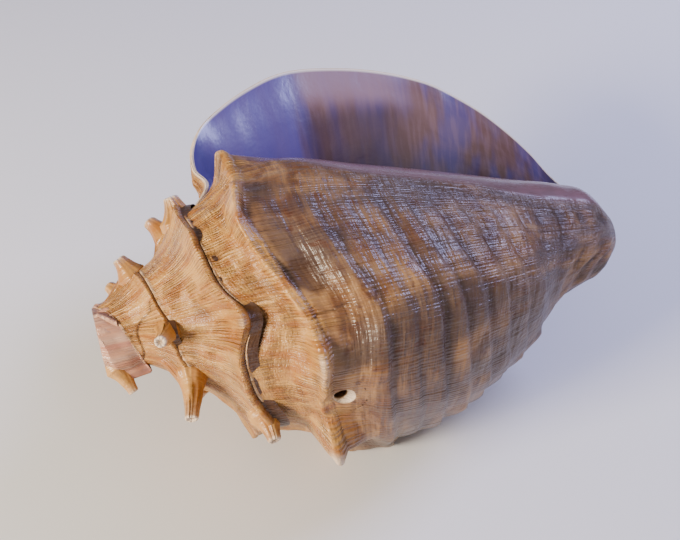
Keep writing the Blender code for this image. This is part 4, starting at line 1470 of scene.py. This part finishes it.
@dataclass
class Mouth(ShellPiece):
    """The smooth inside: the lip's lining, the pillar and the wall of the whorl before."""

    name: str = "shell_mouth"
    runs: tuple[tuple[float, float, float, int, int], ...] = (
        (350.0, 205.0, 0.75, 225, 120), (205.0, 100.0, 1.25, 150, 60), (100.0, -60.0, 4.0, 60, 30))
    pillar_rows: int = 18
    callus: float = 0.0005
    gap: float = 0.0016
    drift: float = 4.0
    canal_share: float = 0.09
    pillar_share: float = 0.55
    hole_reach: float = 0.0034
    swells: tuple[Wave, ...] = (Wave(0.00030, 13.0, 60.0, 51), Wave(0.00010, 4.0, 30.0, 53))

    def sheets(self) -> list[Sheet]:
        """Give the inside from the lip's edge to deep in the last whorl.

        A run holds its first and last growth angle, its step, and its rows on the lining and on the
        whorl before.

        Returns:
            The sheets in the world.
        """
        found = []
        for start, end, step, lining_rows, wall_rows in self.runs:
            lines = int(round((start - end) / step)) + 1
            sheet = self.band(np.linspace(end, start, lines), lining_rows, wall_rows)
            SideHole(self.skin.form).clear(sheet, self.hole_reach)
            sheet.points = self.skin.form.to_world(sheet.points)
            found.append(sheet)
        return found

    def deep(self, angle: Array) -> Array:
        """Give 1 deep inside and 0 at the lip's edge."""
        return fall(250.0, 349.0, angle)

    def before(self, angle: Array) -> Array:
        """Give the growth angle of the wall of the whorl before."""
        return angle - FULL_TURN - self.drift * smooth_step(300.0, 350.0, angle)

    def starts(self, angle: Array) -> tuple[Array, Array]:
        """Find where the wedge between the lining and the whorl before is wide enough.

        Args:
            angle: Growth angles.

        Returns:
            Stations of the lining and of the whorl before.
        """
        form, reach = self.skin.form, np.linspace(0.0, 0.45, 91)
        probes = np.arange(-64.0, 351.0, 6.0)
        outer_starts, under_starts = [], []
        for probe in probes:
            outer = form.outside(probe, reach, Relief.PLAIN)
            before = float(self.before(probe))
            first = float(form.next_suture_station(before))
            under_stations = first + (1.0 - first) * reach
            under = form.coiled(np.full_like(reach, before), under_stations)
            distance = np.linalg.norm(outer[:, None] - under[None], axis=2)
            start = int(np.argmax(distance.min(axis=1) > float(form.wall(probe)) + self.gap))
            outer_starts.append(reach[start])
            under_starts.append(under_stations[int(np.argmin(distance[start]))])
        kernel = np.array((0.25, 0.5, 0.25))
        smooth = [np.convolve(np.pad(part, 1, mode="edge"), kernel, "valid")
                  for part in (outer_starts, under_starts)]
        return np.interp(angle, probes, smooth[0]), np.interp(angle, probes, smooth[1])

    def band(self, angle: Array, lining_rows: int, wall_rows: int) -> Sheet:
        """Build the closed loops of the inside over a run of growth angles.

        Args:
            angle: Growth angles in rising order.
            lining_rows: Rows on the lip's and last whorl's lining.
            wall_rows: Rows on the whorl before.

        Returns:
            The sheet, in the shell frame.
        """
        form, angle = self.skin.form, angle[:, None]
        deep, before = self.deep(angle), self.before(angle)
        hidden = 0.04 * fall(230.0, 300.0, angle)
        start, under_start = (part[:, None] + hidden for part in self.starts(angle[:, 0]))
        station = start + (1.0 - self.canal_share * deep - start) * np.linspace(0.0, 1.0, lining_rows)
        turn = np.broadcast_to(angle, station.shape)
        lining_flow = form.flow_of(turn, station)
        lining = self.lining(turn, station, lining_flow)

        under = 1.0 + (under_start - 1.0) * np.linspace(0.0, 1.0, wall_rows)
        under_turn = np.broadcast_to(before, under.shape)
        lift = self.callus * deep + self.skin.heights(under_turn, under) * (1 - deep)
        wall = form.coiled(under_turn, under) + lift[..., None] * form.normal(under_turn, under)

        bridge = self.bridge(lining[:, -1:], wall[:, :1], before)
        points = np.concatenate([lining, bridge, wall, lining[:, :1]], axis=1)
        flow = np.concatenate([lining_flow, MM * bridge, form.flow_of(under_turn, under),
                               lining_flow[:, :1]], axis=1)
        along = np.concatenate([station, np.ones(bridge.shape[:2]), under, station[:, :1]], axis=1)
        masks = self.masks(np.broadcast_to(angle, along.shape), along, flow[..., 0])
        masks["wear"][:, lining_rows:] = 0.0
        return Sheet(points, flow, masks, flipped=True)

    def lining(self, turn: Array, station: Array, flow: Array) -> Array:
        """Give the lining's points, a wall's thickness inside the outside.

        Args:
            turn: Growth angles.
            station: Stations.
            flow: Flow attribute of the points.

        Returns:
            Points of the shell frame.
        """
        form = self.skin.form
        swell = sum(wave.at(flow[..., 1], flow[..., 0]) for wave in self.swells)
        wall = form.wall(turn) + swell * fall(335.0, 350.0, turn)
        return form.outside(turn, station, Relief.PLAIN) - wall[..., None] * form.normal(turn, station)

    def bridge(self, end: Array, wall: Array, before: Array) -> Array:
        """Curve from the lining's canal side over the pillar to the whorl before.

        Args:
            end: Last points of the lining.
            wall: First points of the whorl before.
            before: Growth angles of the whorl before.

        Returns:
            Points of the shell frame.
        """
        form = self.skin.form
        radius = self.pillar_share * np.hypot(end[..., 1], end[..., 2] - form.axis_offset(end[..., 0]))
        pillar = form.place(end[..., 0] - 0.0015, radius, before)
        t = np.linspace(0.0, 1.0, self.pillar_rows + 2)[1:-1][None, :, None]
        return ((1 - t) ** 3 * end + 3 * t * (1 - t) ** 2 * (1.3 * pillar - 0.3 * end)
                + 3 * t ** 2 * (1 - t) * (0.5 * (pillar + wall)) + t ** 3 * wall)

    def masks(self, angle: Array, station: Array, u: Array) -> dict[str, Array]:
        """Give the worn edge, painted violet light, painted shade, and a rose band of painted warm light.

        Args:
            angle: Growth angles.
            station: Stations.
            u: Flow distances along the growth.

        Returns:
            The masks by name.
        """
        # Painted shadow in a band under the lit rose band, as the last whorl would cast it.
        shadow = (smooth_step(0.44, 0.50, station) * fall(0.60, 0.74, station)
                  * fall(326.0, 337.0, angle - 20.0 * (station - 0.55)))
        return {"wear": smooth_step(348.6, 349.9, angle),
                # Painted violet light near the shoulder end, and painted shade deep inside.
                "painted_violet_light": fall(0.42, 0.50, station + 0.012 * ripple(u / 30.0, station * 30.0, 71)),
                "painted_shade": np.maximum(shadow, fall(284.0, 312.0, angle)),
                # A rose band of painted warm light near the lip's edge.
                "blush_and_painted_light": (smooth_step(0.45, 0.50, station) * fall(0.62, 0.74, station)
                          * smooth_step(330.0, 340.0, angle))}


@dataclass(frozen=True)
class Grain:
    """A noise of a finish: its two sizes in millimetres, its form, and the limits and top of its share."""

    along: float = 1.0
    across: float = 1.0
    detail: float = 3.0
    twist: float = 0.0
    low: float = 0.0
    high: float = 1.0
    top: float = 1.0


@dataclass(frozen=True)
class Ribs:
    """Fine growth ribs of a finish: sizes in millimetres, waviness, and where they are faint."""

    spacing: float = 1.35
    length: float = 22.0
    twist: float = 7.0
    detail: float = 2.0
    detail_scale: float = 1.2
    plain: Grain = Grain(17.0, 12.0, low=0.36, high=0.60)
    faint: Colour = (0.6, 0.6, 0.6)


class Nodes:
    """Short ways to add and join the shader nodes of one material."""

    def __init__(self, name: str) -> None:
        """Start a material with its Principled shader.

        Args:
            name: Name of the material.
        """
        self.material = bpy.data.materials.new(name)
        self.material.use_nodes = True
        self.tree = self.material.node_tree
        self.shader = self.tree.nodes["Principled BSDF"]

    def put(self, value: object, socket: bpy.types.NodeSocket) -> None:
        """Join an output to a socket, or set a number or colour on it.

        Args:
            value: Output, number or colour.
            socket: Input to join or set.
        """
        if isinstance(value, bpy.types.NodeSocket):
            self.tree.links.new(value, socket)
        elif isinstance(value, tuple) and socket.type == "RGBA":
            socket.default_value = (*value, 1.0)
        else:
            socket.default_value = value

    def node(self, kind: str, output: str | int, inputs: dict[str | int, object],
             **settings: str) -> bpy.types.NodeSocket:
        """Add a node.

        Args:
            kind: Kind of the node.
            output: Name or number of the output to give.
            inputs: Values of its inputs.
            settings: The node's own values.

        Returns:
            The output.
        """
        node = self.tree.nodes.new(kind)
        for key, value in settings.items():
            setattr(node, key, value)
        for key, value in inputs.items():
            self.put(value, node.inputs[key])
        return node.outputs[output]

    def mask(self, name: str) -> bpy.types.NodeSocket:
        """Read one of the sheets' values."""
        return self.node("ShaderNodeAttribute", "Fac", {}, attribute_name=name)

    def place(self) -> bpy.types.NodeSocket:
        """Read the flow attribute."""
        return self.node("ShaderNodeAttribute", "Vector", {}, attribute_name="flow")

    def station(self) -> bpy.types.NodeSocket:
        """Read the station, in hundredths."""
        return self.node("ShaderNodeSeparateXYZ", "Z", {0: self.place()})

    def flow(self, size_u: float, size_v: float) -> bpy.types.NodeSocket:
        """Give flow coordinates in units of two sizes.

        Args:
            size_u: Size along the growth, in millimetres.
            size_v: Size along the generating curve, in millimetres.

        Returns:
            The vector output.
        """
        sizes = {0: self.place(), 1: (1.0 / size_u, 1.0 / size_v, 0.0)}
        return self.node("ShaderNodeVectorMath", "Vector", sizes, operation="MULTIPLY")

    def noise(self, grain: Grain, place: bpy.types.NodeSocket | None = None) -> bpy.types.NodeSocket:
        """Add a noise.

        Args:
            grain: Its sizes, detail and twist.
            place: Coordinates to read in place of the flow.

        Returns:
            The height output.
        """
        if place is None:
            place = self.flow(grain.along, grain.across)
        inputs = {"Vector": place, "Scale": 1.0, "Detail": grain.detail, "Distortion": grain.twist}
        return self.node("ShaderNodeTexNoise", "Fac", inputs)

    def share(self, grain: Grain) -> bpy.types.NodeSocket:
        """Add a noise and turn it into a share between its limits."""
        return self.between(self.noise(grain), grain.low, grain.high, grain.top)

    def riblets(self, ribs: Ribs) -> bpy.types.NodeSocket:
        """Add fine wavy growth ribs, which are plain in some places and faint in others.

        Args:
            ribs: Their sizes and waviness.

        Returns:
            The height output.
        """
        inputs = {"Vector": self.flow(ribs.spacing, ribs.length), "Scale": math.tau / 20.0,
                  "Distortion": ribs.twist, "Detail": ribs.detail, "Detail Scale": ribs.detail_scale}
        waves = self.node("ShaderNodeTexWave", "Fac", inputs, bands_direction="X")
        return self.mix(self.share(ribs.plain), ribs.faint, waves)

    def between(self, value: object, low: float, high: float, top: float = 1.0) -> bpy.types.NodeSocket:
        """Turn a value into a smooth share between two limits.

        Args:
            value: Value to read.
            low: Limit that gives 0.
            high: Limit that gives the top share.
            top: Top share.

        Returns:
            The share output.
        """
        inputs = {"Value": value, "From Min": low, "From Max": high, "To Max": top}
        return self.node("ShaderNodeMapRange", "Result", inputs, interpolation_type="SMOOTHSTEP")

    def times(self, first: object, second: object) -> bpy.types.NodeSocket:
        """Multiply two values."""
        return self.node("ShaderNodeMath", "Value", {0: first, 1: second}, operation="MULTIPLY")

    def scaled(self, value: object, gain: object, base: object) -> bpy.types.NodeSocket:
        """Multiply a value and add a base."""
        return self.node("ShaderNodeMath", "Value", {0: value, 1: gain, 2: base}, operation="MULTIPLY_ADD")

    def mix(self, share: object, first: object, second: object) -> bpy.types.NodeSocket:
        """Mix two colours by the share of the second."""
        return self.node("ShaderNodeMix", 2, {0: share, 6: first, 7: second}, data_type="RGBA")

    def bump(self, height: object, distance: float, strength: object,
             under: bpy.types.NodeSocket | None = None) -> bpy.types.NodeSocket:
        """Add a bump on top of another.

        Args:
            height: Height from 0 to 1.
            distance: Real height of 1, in metres.
            strength: Share of the effect.
            under: Normal of the bump below.

        Returns:
            The normal output.
        """
        inputs = {"Height": height, "Distance": distance, "Strength": strength}
        if under is not None:
            inputs["Normal"] = under
        return self.node("ShaderNodeBump", "Normal", inputs)

    def dress(self, colour: object, roughness: object, normal: object, coat: float = 0.0,
              coat_roughness: float = 0.1) -> bpy.types.Material:
        """Join the finish to the shader.

        Args:
            colour: Base colour.
            roughness: Roughness.
            normal: Normal with bumps.
            coat: Weight of the varnish.
            coat_roughness: Roughness of the varnish.

        Returns:
            The material.
        """
        inputs = {"Base Color": colour, "Roughness": roughness, "Normal": normal,
                  "Coat Normal": normal, "Coat Weight": coat, "Coat Roughness": coat_roughness}
        for key, value in inputs.items():
            self.put(value, self.shader.inputs[key])
        return self.material


@dataclass(frozen=True)
class OutsideFinish:
    """Varnished outside: cream and tan growth lines, rusty blotches, worn and glazed places, painted shade.
    """

    cream: Colour = (0.54, 0.275, 0.068)
    tan: Colour = (0.35, 0.125, 0.019)
    buff: Colour = (0.33, 0.178, 0.078)
    rust: Colour = (0.098, 0.030, 0.008)
    ash: Colour = (0.070, 0.045, 0.037)
    ivory: Colour = (0.72, 0.55, 0.38)
    callus: Colour = (0.19, 0.088, 0.095)
    shade: Colour = (0.045, 0.015, 0.005)
    pink: Colour = (0.50, 0.200, 0.130)
    streaks: Grain = Grain(4.6, 24.0, 4.0, low=0.36, high=0.66)
    patches: Grain = Grain(17.0, 6.5, 4.0, 0.6, 0.38, 0.64)
    clouds: Grain = Grain(24.0, 26.0, low=0.36, high=0.60, top=0.80)
    spots: Grain = Grain(5.2, 3.4, 3.0, 0.4, 0.60, 0.70, 0.75)
    threads: Grain = Grain(26.0, 1.3, 2.0, low=0.42, high=0.64, top=0.30)
    pleats: Grain = Grain(1.4, 34.0, 2.0)
    grooves: Grain = Grain(16.0, 1.1, 2.0)
    pits: Grain = Grain(2.4, 2.0, 4.0)
    dull: Grain = Grain(6.0, 5.0)
    ribs: Ribs = Ribs()

    def colour(self, n: Nodes) -> bpy.types.NodeSocket:
        """Build the colour.

        Args:
            n: Nodes of the material.

        Returns:
            The colour output.
        """
        # Past the shoulder the last whorl darkens with buff and rust patches and ash clouds: partly the
        # shell's own browner colour, partly painted shade of the side turned from the light.
        body = n.between(n.station(), 38.0, 45.0)
        streaks, patches = n.share(self.streaks), n.share(self.patches)
        colour = n.mix(streaks, self.cream, self.tan)
        colour = n.mix(n.times(body, 0.78), colour, n.mix(patches, self.buff, self.rust))
        for grain, over in ((self.clouds, self.ash), (self.spots, self.rust)):
            colour = n.mix(n.times(body, n.share(grain)), colour, over)
        hollows = n.between(n.riblets(self.ribs), 0.40, 0.02, 0.42)
        colour = n.mix(n.times(hollows, n.scaled(body, -0.55, 1.0)), colour, self.rust)
        colour = n.mix(n.times(body, n.share(self.threads)), colour, self.shade)
        # The first layer lays painted shade and dark marks on in the shade colour.
        layers = (("shade_and_dark_marks", 0.78, self.shade),
                  ("blush_and_painted_light", 0.80, n.mix(n.times(streaks, 0.5), self.pink, self.ivory)),
                  ("glaze", 1.00, n.mix(n.times(patches, 0.30), self.callus, self.ash)),
                  ("wear", 1.00, self.ivory))
        for mask, top, over in layers:
            colour = n.mix(n.times(n.mask(mask), top), colour, over)
        return colour

    def material(self) -> bpy.types.Material:
        """Build the material.

        Returns:
            The material.
        """
        n = Nodes("varnished_outside")
        body = n.between(n.station(), 41.0, 47.0)
        bare = n.between(n.mask("glaze"), 1.0, 0.2)
        normal = n.bump(n.riblets(self.ribs), 0.0007, n.times(bare, n.scaled(body, -0.40, 0.75)))
        bumps = ((n.noise(self.pleats), 0.0010, 0.55),
                 (n.times(n.noise(self.grooves), body), 0.0011, 0.75),
                 (n.noise(self.pits), 0.0010, 0.60))
        for height, distance, strength in bumps:
            normal = n.bump(height, distance, n.times(bare, strength), normal)
        rough = n.scaled(n.mask("wear"), 0.12, n.scaled(n.noise(self.dull), 0.34, 0.22))
        rough = n.scaled(n.mask("glaze"), -0.10, rough)
        return n.dress(self.colour(n), rough, normal, coat=0.22, coat_roughness=0.16)


@dataclass(frozen=True)
class PorcelainFinish:
    """Glossy lavender inside with tan streaks, a cream edge, and painted light and shade."""

    # Painted light and shade: the first colour is violet light near the shoulder, the lavender is partly a
    # blue tint of light on a pink-cream inside, and the darkest colour is shade.
    painted_violet_light: Colour = (0.088, 0.064, 0.255)
    lavender: Colour = (0.070, 0.045, 0.15)
    rose: Colour = (0.25, 0.150, 0.195)
    tan: Colour = (0.11, 0.052, 0.045)
    painted_shade: Colour = (0.040, 0.018, 0.032)
    cream: Colour = (0.88, 0.80, 0.68)
    streaks: Grain = Grain(170.0, 7.0, 2.5, 0.1, 0.40, 0.62)
    broad: Grain = Grain(60.0, 17.0, 3.0, 0.5, 0.36, 0.66)
    fine: Grain = Grain(70.0, 1.8, low=0.42, high=0.66, top=0.25)
    swell: Grain = Grain(40.0, 9.0)
    lines: Grain = Grain(6.0, 1.6)
    dull: Grain = Grain(22.0, 12.0)

    def material(self) -> bpy.types.Material:
        """Build the material.

        Returns:
            The material.
        """
        n = Nodes("porcelain_inside")
        colour = n.mix(n.share(self.streaks), self.lavender, self.tan)
        # The violet, blush and dark layers paint light and shade: violet light at the shoulder, a lit rose
        # band near the edge, and shade deeper in.
        layers = ((n.share(self.broad), 0.16, self.rose), (n.mask("blush_and_painted_light"), 0.85, self.rose),
                  (n.share(self.fine), 1.00, self.rose), (n.mask("painted_violet_light"), 0.85, self.painted_violet_light),
                  (n.mask("painted_shade"), 0.72, self.painted_shade), (n.mask("wear"), 1.00, self.cream))
        for share, top, over in layers:
            colour = n.mix(n.times(share, top), colour, over)
        normal = n.bump(n.noise(self.swell), 0.0010, 0.25)
        normal = n.bump(n.noise(self.lines), 0.00020, 0.30, normal)
        rough = n.scaled(n.noise(self.dull), 0.16, 0.24)
        return n.dress(colour, rough, normal, coat=0.25, coat_roughness=0.16)


@dataclass(frozen=True)
class PaperFinish:
    """Matt pale floor."""

    light: Colour = (0.80, 0.79, 0.78)
    dark: Colour = (0.76, 0.75, 0.745)

    def material(self) -> bpy.types.Material:
        """Build the material.

        Returns:
            The material.
        """
        n = Nodes("pale_paper")
        place = n.node("ShaderNodeTexCoord", "Object", {})
        grain = n.noise(Grain(detail=6.0), place)
        return n.dress(n.mix(grain, self.light, self.dark), n.scaled(grain, 0.1, 0.72),
                       n.bump(grain, 0.0002, 0.1))


@dataclass(frozen=True)
class SoftLight:
    """One soft rectangular light that looks at the shell."""

    name: str
    way: Way
    distance: float
    size: float
    power: float
    colour: Colour

    def build(self, target: Vector) -> None:
        """Add the light to the scene.

        Args:
            target: Point that the light looks at.
        """
        lamp = bpy.data.lights.new(self.name, "AREA")
        lamp.shape = "RECTANGLE"
        lamp.size = self.size
        lamp.size_y = self.size
        lamp.energy = self.power
        lamp.color = self.colour
        thing = bpy.data.objects.new(self.name, lamp)
        way = Vector(self.way).normalized()
        thing.location = target + way * self.distance
        thing.rotation_euler = way.to_track_quat("Z", "Y").to_euler()
        bpy.context.scene.collection.objects.link(thing)


@dataclass(frozen=True)
class Studio:
    """Pale floor, soft light and the camera."""

    target: Way = (0.0, 0.0, 0.06)
    floor_size: float = 60.0
    ambient: Colour = (0.80, 0.80, 0.86)
    ambient_power: float = 0.27
    camera_place: Way = (-0.1095, -0.3116, 0.3685)
    camera_way: Way = (0.2317, 0.6879, -0.6879)
    lens: float = 52.94
    lights: tuple[SoftLight, ...] = (
        SoftLight("warm_key", (-0.884, -0.293, 0.38), 1.1, 0.34, 25.0, (1.0, 0.88, 0.72)),
        SoftLight("cool_side", (0.677, 0.127, 0.646), 1.2, 0.5, 18.0, (0.50, 0.53, 1.0)),
        SoftLight("top_fill", (0.0, -0.5, 1.0), 1.4, 1.2, 3.0, (1.0, 0.98, 0.97)))

    def build(self) -> None:
        """Build the floor, the lights, the surroundings and the camera."""
        mesh = bpy.data.meshes.new("floor")
        grid = bmesh.new()
        bmesh.ops.create_grid(grid, x_segments=4, y_segments=4, size=self.floor_size / 2)
        grid.to_mesh(mesh)
        grid.free()
        mesh.materials.append(PaperFinish().material())
        floor = bpy.data.objects.new("floor", mesh)
        bpy.context.scene.collection.objects.link(floor)
        for light in self.lights:
            light.build(Vector(self.target))
        world = bpy.data.worlds.new("soft_room")
        world.use_nodes = True
        sky = world.node_tree.nodes["Background"]
        sky.inputs["Color"].default_value = (*self.ambient, 1.0)
        sky.inputs["Strength"].default_value = self.ambient_power
        bpy.context.scene.world = world
        self.add_camera()

    def add_camera(self) -> None:
        """Add the camera at the photograph's viewing angle."""
        camera = bpy.data.cameras.new("camera")
        camera.lens = self.lens
        camera.clip_start = 0.01
        thing = bpy.data.objects.new("camera", camera)
        thing.location = self.camera_place
        thing.rotation_euler = Vector(self.camera_way).to_track_quat("-Z", "Y").to_euler()
        bpy.context.scene.collection.objects.link(thing)
        bpy.context.scene.camera = thing


def main() -> None:
    """Build the scene."""
    logging.basicConfig(level=logging.INFO, format="%(name)s: %(message)s")
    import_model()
    skin = Skin(ShellForm())
    outside, inside = OutsideFinish().material(), PorcelainFinish().material()
    spire = Spire(skin).build(outside)
    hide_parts("shell")
    Spines(skin).build(outside)
    LastWhorl(skin).build(outside)
    FlaredLip(skin).build(outside)
    Mouth(skin).build(inside)
    Studio().build()


if __name__ == "__main__":
    main()
